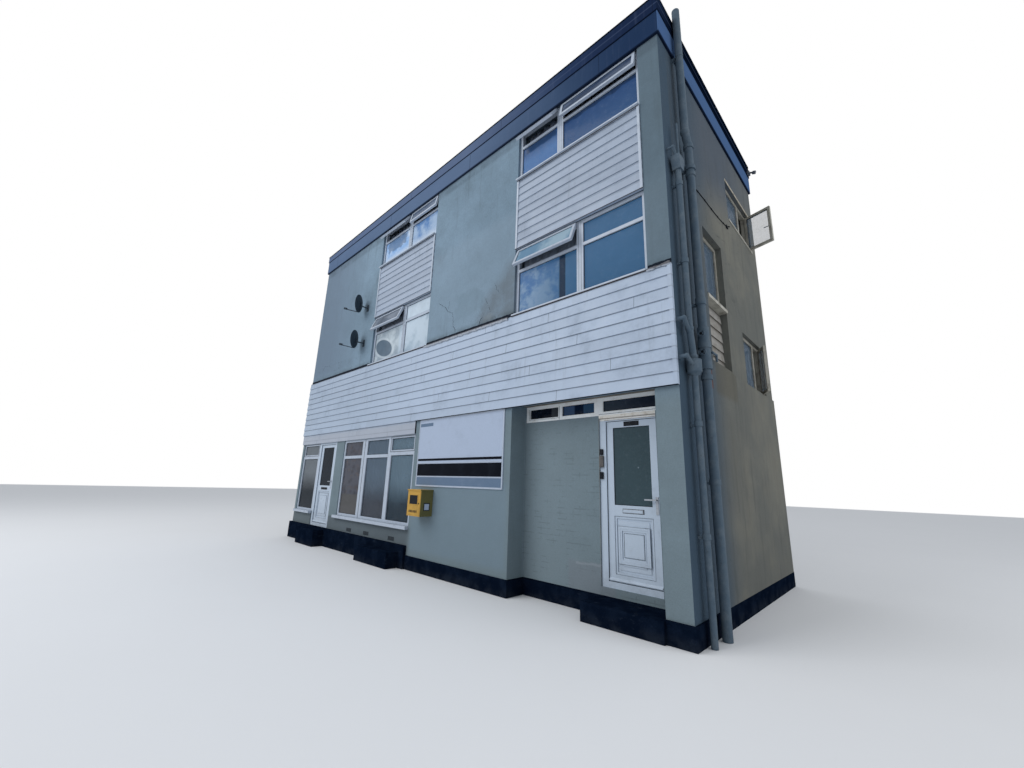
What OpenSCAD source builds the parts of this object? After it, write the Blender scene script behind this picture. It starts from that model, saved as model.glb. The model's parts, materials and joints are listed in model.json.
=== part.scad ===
/* [Building] */
// Length of the street front
front_w = 10700; // [10400:10:11400]
// Depth from the front face to the rear face
depth = 4400; // [4300:10:5200]
// Thickness of the outer walls
wall_t = 250; // [210:5:290]
// Height of the dark plinth above the lowest ground
plinth_h = 232; // [200:2:260]
// Height of the taller plinth under the shopfront
shop_plinth_h = 395; // [370:1:410]
// How far the plinth stands out from the walls
plinth_out = 20; // [5:1:40]
// How far the taller plinth stands out
shop_plinth_out = 60; // [40:1:80]
// Underside of the roof deck
roof_z = 7830; // [7810:5:8000]
// Thickness of the roof deck
roof_t = 200; // [120:5:250]

/* [Floors] */
// Top of the ground floor
ground_floor_z = 330; // [325:5:350]
// Underside of the first floor
ceiling_z = 2730; // [2700:5:2790]
// Thickness of the upper floors
floor_t = 250; // [150:5:320]
// Top of the second floor
second_floor_z = 5630; // [5580:10:5700]

/* [Shopfront] */
// Width of the post at the left end
end_post_w = 110; // [80:5:160]
// Width of the small shop window
small_window_w = 1014; // [900:2:1100]
// Width of the shop door frame
shop_door_w = 1032; // [960:2:1100]
// Width of the rendered pier beside the shop door
shop_pier_w = 403; // [300:1:480]
// Width of the large shop window
large_window_w = 3008; // [2800:2:3100]
// Height of the shop window sills
shop_sill_z = 729; // [680:1:790]
// Centre of the wide mullion of the large window, from its left end
wide_mullion_x = 1008; // [980:2:1050]
// Width of the wide mullion
wide_mullion_w = 225; // [180:1:240]
// Centre of the narrow mullion of the large window, from its left end
narrow_mullion_x = 2075; // [2040:5:2120]
// Width of the narrow mullion
narrow_mullion_w = 127; // [90:1:150]
// Height of the shopfront heads
shop_head_z = 2432; // [2400:2:2470]
// Distance of the shopfront behind the wall face
shop_set = 20; // [5:1:60]
// Thickness of the white board over the shopfront
shop_board_t = 25; // [15:1:35]

/* [Entrance recess] */
// Width of the pier at the right end
right_pier_w = 295; // [260:1:360]
// Width of the recess
recess_w = 2292; // [2200:2:2400]
// Depth of the recess
recess_d = 350; // [300:5:450]
// Thickness of the wall at the back of the recess
recess_wall_t = 200; // [150:5:220]
// Width of the entrance door frame
entrance_w = 892; // [860:1:900]
// Top of the entrance door frame
entrance_head_z = 2446; // [2420:2:2450]
// Wall between the entrance door frame and the right pier
entrance_side_gap = 85; // [80:1:120]
// Height of the stained rail over the entrance door
rail_h = 38; // [30:1:50]
// Distance of the entrance door frame behind the recess wall face
entrance_set = 20; // [15:1:30]
// How much of the frame's right jamb the recess wall covers
nib_w = 84; // [70:1:84]

/* [Doors] */
// Width of the jambs of the door frames
jamb_w = 80; // [70:1:84]
// Height of the heads of the door frames
frame_head_h = 36; // [30:1:50]
// Depth of the door frames
door_frame_t = 70; // [66:1:90]
// Thickness of the door leaves
leaf_t = 50; // [40:1:54]
// Free gap round a door leaf
door_gap = 8; // [7:0.5:9]
// Width of the stiles of the entrance door
entrance_rim = 102; // [85:1:120]
// Width of the stiles of the shop door
shop_rim = 128; // [110:1:150]

/* [Cladding band] */
// Foot of the cladding band
band_z = 2680; // [2660:5:2720]
// Number of boards in the band
band_boards = 10; // [8:1:10]
// Visible height of one board
board_h = 150; // [140:1:150]
// How far the boards stand out
band_out = 50; // [30:1:70]
// Width of the trim at the right end of the band
band_trim_w = 45; // [30:1:70]

/* [Bays] */
// Left end of the left window bay
left_bay_x = 3360; // [3100:10:3420]
// Distance of the right window bay from the right end
right_bay_gap = 310; // [260:5:400]
// Width of both window bays
bay_w = 2310; // [2100:10:2330]
// Foot of the first floor windows
first_sill_z = 4202; // [4202:1:4280]
// Head of the first floor windows and foot of the boarded panels
first_head_z = 5401; // [5350:1:5430]
// Top of the boarded panels
panel_top_z = 6739; // [6710:1:6770]
// Head of the second floor windows
second_head_z = 7780; // [7730:5:7790]
// Number of boards in a bay panel
panel_boards = 9; // [8:1:10]
// Distance of the windows behind the wall face
window_set = 50; // [40:1:90]

/* [Windows] */
// Width of the outer frame bars
bar_w = 50; // [45:1:60]
// Depth of the window frames
frame_t = 70; // [60:1:80]
// Thickness of the glass units
glass_t = 24; // [16:1:28]
// Width of the mullions
mullion_w = 115; // [90:1:150]
// Height of the transoms
transom_h = 50; // [40:1:60]
// Height of the first floor top lights
first_top_light = 326; // [280:2:360]
// Height of the second floor top lights
second_top_light = 252; // [200:2:280]
// Mullion centre of the left bay, first floor
left_first_mullion = 1290; // [1150:5:1400]
// Mullion centre of the left bay, second floor
left_second_mullion = 1205; // [1100:5:1400]
// Mullion centre of the right bay, first floor
right_first_mullion = 1265; // [1150:5:1400]
// Mullion centre of the right bay, second floor
right_second_mullion = 890; // [800:5:1100]
// Opening angle of the left top lights on the first floor
first_vent_angle = 22; // [10:1:40]
// Opening angle of the left top lights on the second floor
second_left_angle = 34; // [10:1:40]
// Opening angle of the right top lights on the second floor
second_right_angle = 12; // [6:1:30]
// Thickness of an opening sash
sash_t = 42; // [30:1:50]
// Bar width of an opening sash
sash_bar = 45; // [35:1:60]

/* [Side and rear windows] */
// Front edge of the tall window in the right wall
tall_y = 1213; // [1000:5:1300]
// Width of the tall window
tall_w = 820; // [700:1:900]
// Foot of the boards under the tall window
tall_foot_z = 3266; // [3200:2:3330]
// Top of the boards and underside of the tall window's sill
tall_board_z = 4200; // [4150:5:4250]
// Height of the tall window's sill
tall_sill_h = 50; // [35:1:70]
// Head of the tall window
tall_head_z = 5330; // [5280:5:5360]
// Number of boards under the tall window
tall_boards = 6; // [5:1:7]
// Depth of the tall window behind the wall face
tall_set = 90; // [60:5:120]
// Width of the lower side windows
low_win_w = 1180; // [1100:5:1250]
// Distance of the lower side windows from the rear face
low_win_gap = 420; // [380:5:480]
// Foot of the lower side windows
low_win_z = 3220; // [3180:5:3260]
// Height of the lower side windows
low_win_h = 910; // [840:5:940]
// Width of the casement of the lower side windows
low_casement_w = 330; // [280:5:400]
// Opening angle of the lower casement in the right wall
low_casement_angle = 28; // [10:1:60]
// Width of the upper side windows
high_win_w = 1440; // [1300:5:1480]
// Distance of the upper side windows from the rear face
high_win_gap = 300; // [300:5:360]
// Foot of the upper side windows
high_win_z = 6180; // [6130:5:6230]
// Height of the upper side windows
high_win_h = 820; // [760:5:900]
// Width of the casement of the upper side windows
high_casement_w = 480; // [400:5:500]
// Opening angle of the upper casement in the right wall
high_casement_angle = 74; // [20:1:80]
// Width of the mullions of the side and rear windows
side_mullion_w = 50; // [40:1:60]
// Distance of the side and rear windows behind the wall face
side_set = 60; // [50:1:90]
// Width of the rear windows
rear_win_w = 1230; // [1100:5:1250]
// Height of the rear windows
rear_win_h = 1000; // [900:5:1100]
// Sill of the rear windows over their floor
rear_sill = 950; // [850:5:1050]
// How far the lower part of the right wall stands out
ledge_out = 20; // [10:1:30]
// Front end of the ledge on the right wall
ledge_y = 980; // [900:5:1050]

/* [Roof edge] */
// Foot of the lower fascia board
fascia_z = 7750; // [7730:5:7770]
// Height of the lower fascia board
fascia_h = 385; // [340:5:400]
// Height of the upper fascia board
fascia_top_h = 255; // [200:5:300]
// How far the lower fascia board stands out
fascia_out = 32; // [25:1:36]
// How far the upper fascia board stands out from the lower one
fascia_step = 12; // [8:1:14]
// Thickness of the dark capping
capping_t = 30; // [20:1:40]
// How far the capping stands out from the upper fascia board
capping_out = 4; // [2:1:6]
// Fall of the roof edge from the right end to the left end
roof_fall = 90; // [0:5:110]
// Width of the kerb behind the fascia
kerb_w = 150; // [100:5:200]

/* [Fittings] */
// Outer diameter of the soil stack
stack_d = 108; // [96:1:110]
// Distance of the pipe centre lines from the right wall
stack_out = 105; // [105:1:115]
// Distance of the soil stack from the front face
stack_y = 575; // [540:5:600]
// Distance of the vent pipe from the front face
vent_y = 485; // [460:5:510]
// Height of the top of the vent pipe
vent_top_z = 8570; // [8500:10:8900]
// Outer diameter of the downpipe
downpipe_d = 78; // [70:1:82]
// Distance of the downpipe's centre line from the right wall
downpipe_out = 85; // [80:1:95]
// Distance of the downpipe from the front face
downpipe_y = 185; // [170:5:200]
// Diameter of the satellite dishes
dish_d = 450; // [380:5:520]
// Distance of the sign board from both ends of its wall
sign_margin = 140; // [100:1:180]
// Foot of the sign board
sign_z = 1452; // [1410:1:1480]
// Thickness of the sign board
sign_t = 12; // [6:1:20]
// Width of the yellow wall cabinet
cabinet_w = 397; // [350:1:450]
// Height of the yellow wall cabinet
cabinet_h = 426; // [380:1:450]
// Depth of the yellow wall cabinet
cabinet_d = 250; // [200:1:280]
// Foot of the yellow wall cabinet
cabinet_z = 950; // [900:1:970]

/* [Hidden] */
$fn = 48;

// Clearance at hinge pins and between seated pieces, and round the glass
seat = 0.3;
glass_gap = 0.1;
pin_d = 8;
knuckle_d = 14;
knuckle_l = 30;
hinge_plate = 3;
hinge_leaf_w = 24;

render_grey = [0.53, 0.60, 0.62];
side_brown = [0.42, 0.41, 0.38];
white = [0.88, 0.89, 0.92];
navy = [0.13, 0.17, 0.30];
dark = [0.07, 0.08, 0.11];
pane = [0.25, 0.32, 0.42, 0.5];

first_floor_z = ceiling_z + floor_t;
small_window_x = end_post_w;
shop_door_x = small_window_x + small_window_w;
shop_pier_x = shop_door_x + shop_door_w;
large_window_x = shop_pier_x + shop_pier_w;
sign_wall_x = large_window_x + large_window_w;
recess_x2 = front_w - right_pier_w;
recess_x = recess_x2 - recess_w;
return_x = recess_x - wall_t;
recess_in = recess_d + recess_wall_t;
entrance_x2 = recess_x2 - entrance_side_gap;
entrance_x = entrance_x2 - entrance_w;
right_bay_x = front_w - right_bay_gap - bay_w;
spandrel_top_z = band_z + band_boards * board_h;
sill_t = first_sill_z - spandrel_top_z;
second_sill_z = panel_top_z + sill_t;
tall_sill_z = tall_board_z + tall_sill_h;
fascia_mid_z = fascia_z + fascia_h;
fascia_top_z = fascia_mid_z + fascia_top_h;

// Moves the drawing from the left front corner to the middle of the plan
module site() {
    translate([-front_w / 2, -depth / 2, 0]) children();
}

// Upright sheet from y0 inwards, drawn in the plane of the front
module sheet(y0, t) {
    translate([0, y0 + t, 0]) rotate([90, 0, 0]) linear_extrude(t) children();
}

// Upright sheet from x0 to the right, drawn in the plane of the sides
module side_sheet(x0, t) {
    translate([x0, 0, 0]) rotate([90, 0, 90]) linear_extrude(t) children();
}

module box(x, y, z, w, d, h) {
    translate([x, y, z]) cube([w, d, h]);
}

// Plan of the rooms inside the walls, without the entrance recess
module room_plan(cut_recess = true) {
    difference() {
        translate([wall_t, wall_t]) square([front_w - 2 * wall_t, depth - 2 * wall_t]);
        if (cut_recess) translate([return_x, 0]) square([front_w, recess_in]);
    }
}

// Four straight boards round the building, from out beyond the wall faces to inner behind them.
// Their tops fall towards the left end, and their feet too when foot_falls is true
module edge_boards(out, inner, z, h, fall = 0, foot_falls = false) {
    foot = foot_falls ? fall : 0;
    for (y = [-out, depth - inner]) sheet(y, out + inner)
        polygon([[-out, z - foot], [0, z - foot], [front_w, z], [front_w + out, z],
                 [front_w + out, z + h], [front_w, z + h], [0, z + h - fall], [-out, z + h - fall]]);
    box(-out, inner + seat, z - foot, out + inner, depth - 2 * (inner + seat), h - fall + foot);
    box(front_w - inner, inner + seat, z, out + inner, depth - 2 * (inner + seat), h);
}

// Outline of overlapping boards, seen from the end: x is outwards, y is up
function boards_outline(n, pitch, back, front, lap) = concat(
    [[back, 0]],
    [for (i = [0:n - 1], k = [0:1]) k == 0 ? [front, i * pitch] : [front - lap, (i + 1) * pitch]],
    [[back, n * pitch]]);

module boards(x, y, z, w, n, pitch, back, front, lap) {
    translate([x, y, z]) rotate([90, 0, -90]) mirror([0, 0, 1]) linear_extrude(w)
        polygon(boards_outline(n, pitch, back, front, lap));
}

// A window face is a list of columns, each [x, width, [[foot, height] of each light]]
function bay_columns(w, h, mullion, top_light) = let(
    x2 = mullion + mullion_w / 2,
    zt = h - bar_w - top_light,
    rows = [[bar_w, zt - transom_h - bar_w], [zt, top_light]])
    [[bar_w, mullion - mullion_w / 2 - bar_w, rows], [x2, w - bar_w - x2, rows]];

// Two columns of plain lights; the second one, a casement, has a width of its own
function casement_columns(w, h, casement) = let(rows = [[bar_w, h - 2 * bar_w]])
    [[bar_w, w - 2 * bar_w - side_mullion_w - casement, rows], [w - bar_w - casement, casement, rows]];

function single_column(w, h) = [[bar_w, w - 2 * bar_w, [[bar_w, h - 2 * bar_w]]]];

// Upright bars run through, and the level ones stand between them
module frame_face(w, h, columns) {
    n = len(columns);
    for (i = [0:n]) {
        x1 = i == 0 ? 0 : columns[i - 1][0] + columns[i - 1][1];
        x2 = i == n ? w : columns[i][0];
        translate([x1, 0]) square([x2 - x1, h]);
    }
    for (c = columns) {
        m = len(c[2]);
        for (k = [0:m]) {
            z1 = k == 0 ? 0 : c[2][k - 1][0] + c[2][k - 1][1];
            z2 = k == m ? h : c[2][k][0];
            translate([c[0] + seat, z1]) square([c[1] - 2 * seat, z2 - z1]);
        }
    }
}

module glass_face(columns) {
    for (c = columns, r = c[2]) translate([c[0] + glass_gap, r[0] + glass_gap])
        square([c[1] - 2 * glass_gap, r[1] - 2 * glass_gap]);
}

module front_frame(x, y, z, w, h, columns) {
    translate([x, 0, z]) sheet(y, frame_t) frame_face(w, h, columns);
}

module front_panes(x, y, z, columns) {
    translate([x, 0, z]) sheet(y + (frame_t - glass_t) / 2, glass_t) glass_face(columns);
}

// How far an opening sash covers the frame beside and under its light, and the head over it
sash_lap = 12;
head_lap = 12;

// Places a top hung sash, drawn from its top left corner down, in front of a light and opens it by an angle
module sash_place(x, y, z, column, row, angle) {
    translate([x + column[0] - sash_lap, y - seat, z + row[0] + row[1] + head_lap])
        rotate([-angle, 0, 0]) translate([0, -sash_t, -row[1] - head_lap - sash_lap]) children();
}

module sash_frame(w, h) {
    sheet(0, sash_t) frame_face(w, h, [[sash_bar, w - 2 * sash_bar, [[sash_bar, h - 2 * sash_bar]]]]);
}

module sash_pane(w, h) {
    sheet((sash_t - glass_t) / 2, glass_t)
        glass_face([[sash_bar, w - 2 * sash_bar, [[sash_bar, h - 2 * sash_bar]]]]);
}

// Windows of the two bays: [x, foot, height, mullion, top light, angles of the left and the right top light]
function bay_rows(floor) = floor == 1
    ? [[left_bay_x, first_sill_z, first_head_z - first_sill_z, left_first_mullion, first_top_light,
        first_vent_angle, 0],
       [right_bay_x, first_sill_z, first_head_z - first_sill_z, right_first_mullion, first_top_light,
        first_vent_angle, 0]]
    : [[left_bay_x, second_sill_z, second_head_z - second_sill_z, left_second_mullion, second_top_light,
        second_left_angle, second_right_angle],
       [right_bay_x, second_sill_z, second_head_z - second_sill_z, right_second_mullion, second_top_light,
        second_left_angle, second_right_angle]];

module ground_floor() {
    color(dark) linear_extrude(ground_floor_z) room_plan();
}

module first_floor() {
    color(side_brown) translate([0, 0, ceiling_z]) linear_extrude(floor_t) room_plan(false);
}

module second_floor() {
    color(side_brown) translate([0, 0, second_floor_z - floor_t]) linear_extrude(floor_t) room_plan(false);
}

// Flat roof with a kerb behind the fascia
module roof_deck() {
    color(dark) {
        box(0, 0, roof_z, front_w, depth, roof_t);
        edge_boards(0, kerb_w, roof_z + roof_t + seat, fascia_top_z - roof_z - roof_t - 2 * seat, roof_fall);
    }
}

module fascia_lower() {
    color(navy) edge_boards(fascia_out, -seat, fascia_z, fascia_h);
}

module fascia_upper() {
    color(navy) edge_boards(fascia_out + fascia_step, -seat, fascia_mid_z, fascia_top_h, roof_fall);
}

module roof_capping() {
    color(dark) edge_boards(fascia_out + fascia_step + capping_out, kerb_w, fascia_top_z, capping_t,
        roof_fall, true);
}

skirting_h = plinth_h - 12;

// Straight lengths of plinth, with skirtings round the recess
module plinth() {
    rear_y = depth - wall_t;
    color(dark) {
        box(-shop_plinth_out, -shop_plinth_out, 0, sign_wall_x + shop_plinth_out, shop_plinth_out + wall_t,
            shop_plinth_h);
        box(sign_wall_x + seat, -plinth_out, 0, recess_x - sign_wall_x - seat, plinth_out + wall_t, plinth_h);
        box(return_x, wall_t + seat, 0, wall_t, recess_in - wall_t - seat, plinth_h);
        box(recess_x + seat, recess_d, 0, recess_w - 2 * seat, recess_wall_t, plinth_h);
        box(recess_x2, -plinth_out, 0, right_pier_w + plinth_out, plinth_out + recess_in, plinth_h);
        box(front_w - wall_t, recess_in + seat, 0, wall_t + plinth_out, rear_y - recess_in - 2 * seat,
            plinth_h);
        box(-plinth_out, wall_t + seat, 0, wall_t + plinth_out, rear_y - wall_t - 2 * seat, plinth_h);
        box(-plinth_out, rear_y, 0, front_w + 2 * plinth_out, wall_t + plinth_out, plinth_h);
        box(recess_x + plinth_out + seat, recess_d - plinth_out, 0, step_x - recess_x - plinth_out - 2 * seat,
            plinth_out - seat, skirting_h);
        box(recess_x + seat, -plinth_out, 0, plinth_out, recess_d + plinth_out - seat, skirting_h);
    }
}

step_x = entrance_x - 44;
step_h = 220;
step_out = 60;
shop_step_x = shop_door_x + 26;
shop_step_w = 1000;
shop_step_h = 365;
base_block_in = 1656;
base_block_x = large_window_x + base_block_in;
base_block_w = 1185;
base_block_h = 275;
block_out = 300;

// Steps before both doors and the raised block under the large shop window
module front_steps() {
    color(dark) {
        box(step_x, -step_out, 0, recess_x2 - step_x - seat, step_out + recess_d - seat, step_h);
        for (b = [[shop_step_x, shop_step_w, shop_step_h], [base_block_x, base_block_w, base_block_h]])
            box(b[0], -block_out, 0, b[1], block_out - shop_plinth_out - seat, b[2]);
    }
}

module front_piers() {
    h = shop_head_z - shop_plinth_h;
    color(render_grey) {
        box(0, 0, shop_plinth_h, end_post_w, wall_t, h);
        box(shop_pier_x, 0, shop_plinth_h, shop_pier_w, wall_t, h);
        box(recess_x2, 0, plinth_h, right_pier_w, recess_in, ceiling_z - plinth_h);
    }
}

// Wall that carries the sign, and its return beside the recess
module sign_wall() {
    h = ceiling_z - plinth_h;
    color(render_grey) {
        box(sign_wall_x + seat, 0, plinth_h, recess_x - sign_wall_x - seat, wall_t, h);
        box(return_x, wall_t + seat, plinth_h, wall_t, recess_in - wall_t - seat, h);
    }
}

module stall_riser() {
    h = shop_sill_z - shop_plinth_h;
    color(render_grey) {
        box(small_window_x, 0, shop_plinth_h, small_window_w, wall_t, h);
        box(large_window_x, 0, shop_plinth_h, large_window_w, wall_t, h);
    }
}

module shop_lintel() {
    color(render_grey) box(0, 0, shop_head_z, sign_wall_x, wall_t, ceiling_z - shop_head_z);
}

// Wall at the back of the recess, with a nib over the right jamb of the door frame
module recess_wall() {
    h = highlight_z - plinth_h;
    nib_x = entrance_x2 - nib_w;
    color(render_grey) {
        box(recess_x, recess_d, plinth_h, entrance_x - recess_x - seat, recess_wall_t, h);
        box(entrance_x, recess_d, plinth_h, entrance_w, recess_wall_t, ground_floor_z - plinth_h);
        box(entrance_x2 + seat, recess_d, plinth_h, entrance_side_gap - seat, recess_wall_t, h);
        box(nib_x, recess_d, ground_floor_z + seat, nib_w, entrance_set - seat,
            entrance_head_z - ground_floor_z - 2 * seat);
        box(nib_x, recess_d, entrance_head_z, nib_w, recess_wall_t, rail_h);
    }
}

module recess_rail() {
    color([0.42, 0.33, 0.26]) box(entrance_x + seat, recess_d, entrance_head_z,
        entrance_w - nib_w - 2 * seat, recess_wall_t, rail_h);
}

module spandrel_wall() {
    color(render_grey) box(0, 0, ceiling_z, front_w, wall_t, spandrel_top_z - ceiling_z);
}

module upper_front_wall() {
    h = roof_z - spandrel_top_z;
    color(render_grey) {
        box(0, 0, spandrel_top_z, left_bay_x, wall_t, h);
        box(left_bay_x + bay_w, 0, spandrel_top_z, right_bay_x - left_bay_x - bay_w, wall_t, h);
        box(right_bay_x + bay_w, 0, spandrel_top_z, right_bay_gap, wall_t, h);
    }
}

panel_back = 30;
panel_lap = 14;

// Walling behind the boarded panels, and the head over the second floor windows
module bay_infill() {
    color(side_brown) for (x = [left_bay_x, right_bay_x]) {
        box(x, panel_back, first_head_z, bay_w, wall_t - panel_back, panel_top_z - first_head_z);
        box(x, 0, second_head_z, bay_w, wall_t, roof_z - second_head_z);
    }
}

module bay_panels() {
    pitch = (panel_top_z - first_head_z) / panel_boards;
    color(white) for (x = [left_bay_x, right_bay_x])
        boards(x, 0, first_head_z, bay_w, panel_boards, pitch, -panel_back, panel_lap, panel_lap);
}

module cladding_band() {
    color(white) {
        boards(0, 0, band_z, front_w - band_trim_w, band_boards, board_h, 0, band_out, panel_lap);
        box(front_w - band_trim_w, -band_out, band_z, band_trim_w, band_out, band_boards * board_h);
    }
}

board_gap = 15;

module shop_board() {
    color(white)
        box(0, -shop_board_t, shop_head_z, sign_wall_x - board_gap, shop_board_t, band_z - shop_head_z);
}

// Side windows from the foot up: [y, foot, width, height, casement width, casement angle in the right wall]
function side_rows() = [
    [depth - low_win_gap - low_win_w, low_win_z, low_win_w, low_win_h, low_casement_w, low_casement_angle],
    [depth - high_win_gap - high_win_w, high_win_z, high_win_w, high_win_h, high_casement_w,
     high_casement_angle]];

// Walling with holes given as [x, foot, width, height], laid in lifts that end at feet and heads of holes
module wall_face(x1, x2, z1, z2, holes) {
    difference() {
        translate([x1, z1]) square([x2 - x1, z2 - z1]);
        for (h = holes) translate([h[0], h[1]]) square([h[2], h[3]]);
        for (h = holes) translate([x1 - 1, h[1] - seat]) square([x2 - x1 + 2, seat]);
        for (h = holes) translate([x1 - 1, h[1] + h[3]]) square([x2 - x1 + 2, seat]);
    }
}

// Openings of the right wall: the tall stair window and two windows near the rear
function right_holes() = concat([[tall_y, tall_foot_z, tall_w, tall_head_z - tall_foot_z]],
    [for (r = side_rows()) [r[0], r[1], r[2], r[3]]]);

// Right wall, which starts behind the deeper pier on the ground floor and has a ledge at its lower part
module right_wall() {
    rear_y = depth - wall_t;
    color(side_brown) {
        box(front_w - wall_t, recess_in + seat, plinth_h, wall_t, rear_y - recess_in - 2 * seat,
            ceiling_z - plinth_h);
        box(front_w + seat, ledge_y, plinth_h, ledge_out - seat, depth - ledge_y, low_win_z - plinth_h);
        side_sheet(front_w - wall_t, wall_t)
            wall_face(wall_t, rear_y - seat, ceiling_z + seat, roof_z, right_holes());
    }
}

module left_wall() {
    color(render_grey) side_sheet(0, wall_t)
        wall_face(wall_t, depth - wall_t - seat, plinth_h, roof_z,
            [for (r = side_rows()) [r[0], r[1], r[2], r[3]]]);
}

// Feet of the rear windows, one row for each storey
function rear_feet() = [ground_floor_z + rear_sill, first_floor_z + rear_sill, second_floor_z + rear_sill];

// Left edges of the rear windows, behind the middle of each bay
function rear_xs() = [for (x = [left_bay_x, right_bay_x]) x + (bay_w - rear_win_w) / 2];

module rear_wall() {
    color(render_grey) sheet(depth - wall_t, wall_t)
        wall_face(0, front_w, plinth_h, roof_z,
            [for (z = rear_feet(), x = rear_xs()) [x, z, rear_win_w, rear_win_h]]);
}

shop_transom_z = 2006;
shop_transom_h = 66;
vent_transom_z = 2037;
vent_transom_h = 106;
shop_side_bar = 61;
shop_sill_t = 60;
shop_sill_out = 70;
highlight_bar = 70;
highlight_z = entrance_head_z + rail_h;
highlight_h = ceiling_z - highlight_z;

// Two lights over each other; the transom is higher and thicker where the top light opens
function shop_rows(opens) = let(
    z1 = (opens ? vent_transom_z : shop_transom_z) - shop_sill_z,
    z2 = z1 + (opens ? vent_transom_h : shop_transom_h))
    [[bar_w, z1 - bar_w], [z2, shop_head_z - shop_sill_z - bar_w - z2]];

function small_shop_columns() = [[shop_side_bar, small_window_w - 2 * shop_side_bar, shop_rows(true)]];

// Three lights: a wide mullion stands between the first two and a narrow one beside the third
function large_shop_columns() = let(
    edges = [shop_side_bar, wide_mullion_x - wide_mullion_w / 2, wide_mullion_x + wide_mullion_w / 2,
        narrow_mullion_x - narrow_mullion_w / 2, narrow_mullion_x + narrow_mullion_w / 2,
        large_window_w - shop_side_bar])
    [for (i = [0, 1, 2]) [edges[2 * i], edges[2 * i + 1] - edges[2 * i], shop_rows(i == 2)]];

// Narrow lights over the recess: two beside the entrance door and one above it
function highlight_columns() = let(
    left_w = entrance_x - recess_x,
    lw = (left_w - 3 * highlight_bar) / 2,
    rows = [[bar_w, highlight_h - 2 * bar_w]])
    [[highlight_bar, lw, rows], [2 * highlight_bar + lw, lw, rows],
     [left_w + highlight_bar, entrance_w - highlight_bar - highlight_bar / 2, rows]];

module shop_windows() {
    h = shop_head_z - shop_sill_z;
    z = shop_sill_z - shop_sill_t;
    color(white) {
        front_frame(small_window_x, shop_set, shop_sill_z, small_window_w, h, small_shop_columns());
        front_frame(large_window_x, shop_set, shop_sill_z, large_window_w, h, large_shop_columns());
        front_frame(recess_x, recess_d, highlight_z, recess_w, highlight_h, highlight_columns());
        box(small_window_x, -shop_sill_out, z, small_window_w, shop_sill_out, shop_sill_t);
        box(large_window_x - shop_sill_t, -shop_sill_out, z, large_window_w + shop_sill_t, shop_sill_out,
            shop_sill_t);
    }
}

module front_glass() {
    color(pane) {
        front_panes(small_window_x, shop_set, shop_sill_z, small_shop_columns());
        front_panes(large_window_x, shop_set, shop_sill_z, large_shop_columns());
        front_panes(recess_x, recess_d, highlight_z, highlight_columns());
    }
}

threshold_h = 60;
stop_t = 12;
stop_lap = 14;

// Heights of the hinges of a door of height h
function hinge_heights(h) = [0.12 * h, 0.5 * h, 0.88 * h];

// Door frame of jambs, head and threshold with an outer stop, and the fixed halves of its hinges
module door_frame(x, y, z, w, h) {
    inner = w - 2 * jamb_w;
    clear_h = h - threshold_h - frame_head_h;
    translate([x, 0, z]) {
        sheet(y, door_frame_t) frame_face(w, h, [[jamb_w, inner, [[threshold_h, clear_h]]]]);
        translate([jamb_w + seat, 0, threshold_h + seat]) sheet(y, stop_t) frame_face(inner - 2 * seat,
            clear_h - 2 * seat, [[stop_lap, inner - 2 * stop_lap, [[stop_lap, clear_h - 2 * stop_lap]]]]);
        for (hz = hinge_heights(h)) translate([jamb_w + door_gap / 2, y + door_frame_t, hz]) fixed_hinge();
    }
}

// Pin and two outer knuckles, at the pin's foot, beside the jamb's inner face
module fixed_hinge() {
    r = knuckle_d / 2;
    for (z = [-1.5 * knuckle_l, 0.5 * knuckle_l]) {
        translate([0, r, z]) cylinder(d = knuckle_d, h = knuckle_l);
        translate([-hinge_leaf_w, 0, z]) cube([hinge_leaf_w, hinge_plate, knuckle_l]);
    }
    translate([0, r, -1.5 * knuckle_l]) cylinder(d = pin_d, h = 3 * knuckle_l);
}

// Middle knuckle, carried by a plate on the inner face of the leaf
module leaf_hinge() {
    r = knuckle_d / 2;
    difference() {
        union() {
            translate([0, r, -knuckle_l / 2 + seat]) cylinder(d = knuckle_d, h = knuckle_l - 2 * seat);
            translate([0, 0, -knuckle_l / 2 + seat]) cube([hinge_leaf_w, hinge_plate, knuckle_l - 2 * seat]);
        }
        translate([0, r, -knuckle_l]) cylinder(d = pin_d + 2 * seat, h = 2 * knuckle_l);
    }
}

// Leaf in its frame: stiles, rails and a moulded panel under the glass, and its hinge halves
module door_leaf(x, y, z, w, h, rim, glass_z, glass_h) {
    lw = leaf_w(w);
    lh = h - threshold_h - frame_head_h - 2 * door_gap;
    iw = lw - 2 * rim;
    panel_h = glass_z - mid_rail - rim;
    translate([x, y + door_frame_t, z]) {
        translate([jamb_w + door_gap, -leaf_t, threshold_h + door_gap]) {
            sheet(0, leaf_t) frame_face(lw, lh, [[rim, iw, [[rim, panel_h], [glass_z, glass_h]]]]);
            translate([rim + seat, 0, rim + seat]) moulded_panel(iw - 2 * seat, panel_h - 2 * seat);
        }
        for (hz = hinge_heights(h)) translate([jamb_w + door_gap / 2, 0, hz]) leaf_hinge();
    }
}

function leaf_w(w) = w - 2 * (jamb_w + door_gap);

// Sunk panel with a bead round it and a raised field in two steps
module moulded_panel(w, h) {
    sheet(panel_sunk, leaf_t - 2 * panel_sunk) square([w, h]);
    sheet(panel_sunk - bead_t, bead_t - seat)
        frame_face(w, h, [[bead_w, w - 2 * bead_w, [[bead_w, h - 2 * bead_w]]]]);
    for (k = [1, 2]) sheet(panel_sunk - k * field_t, field_t) translate([k * field_in, k * field_in])
        square([w - 2 * k * field_in, h - 2 * k * field_in]);
}

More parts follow.
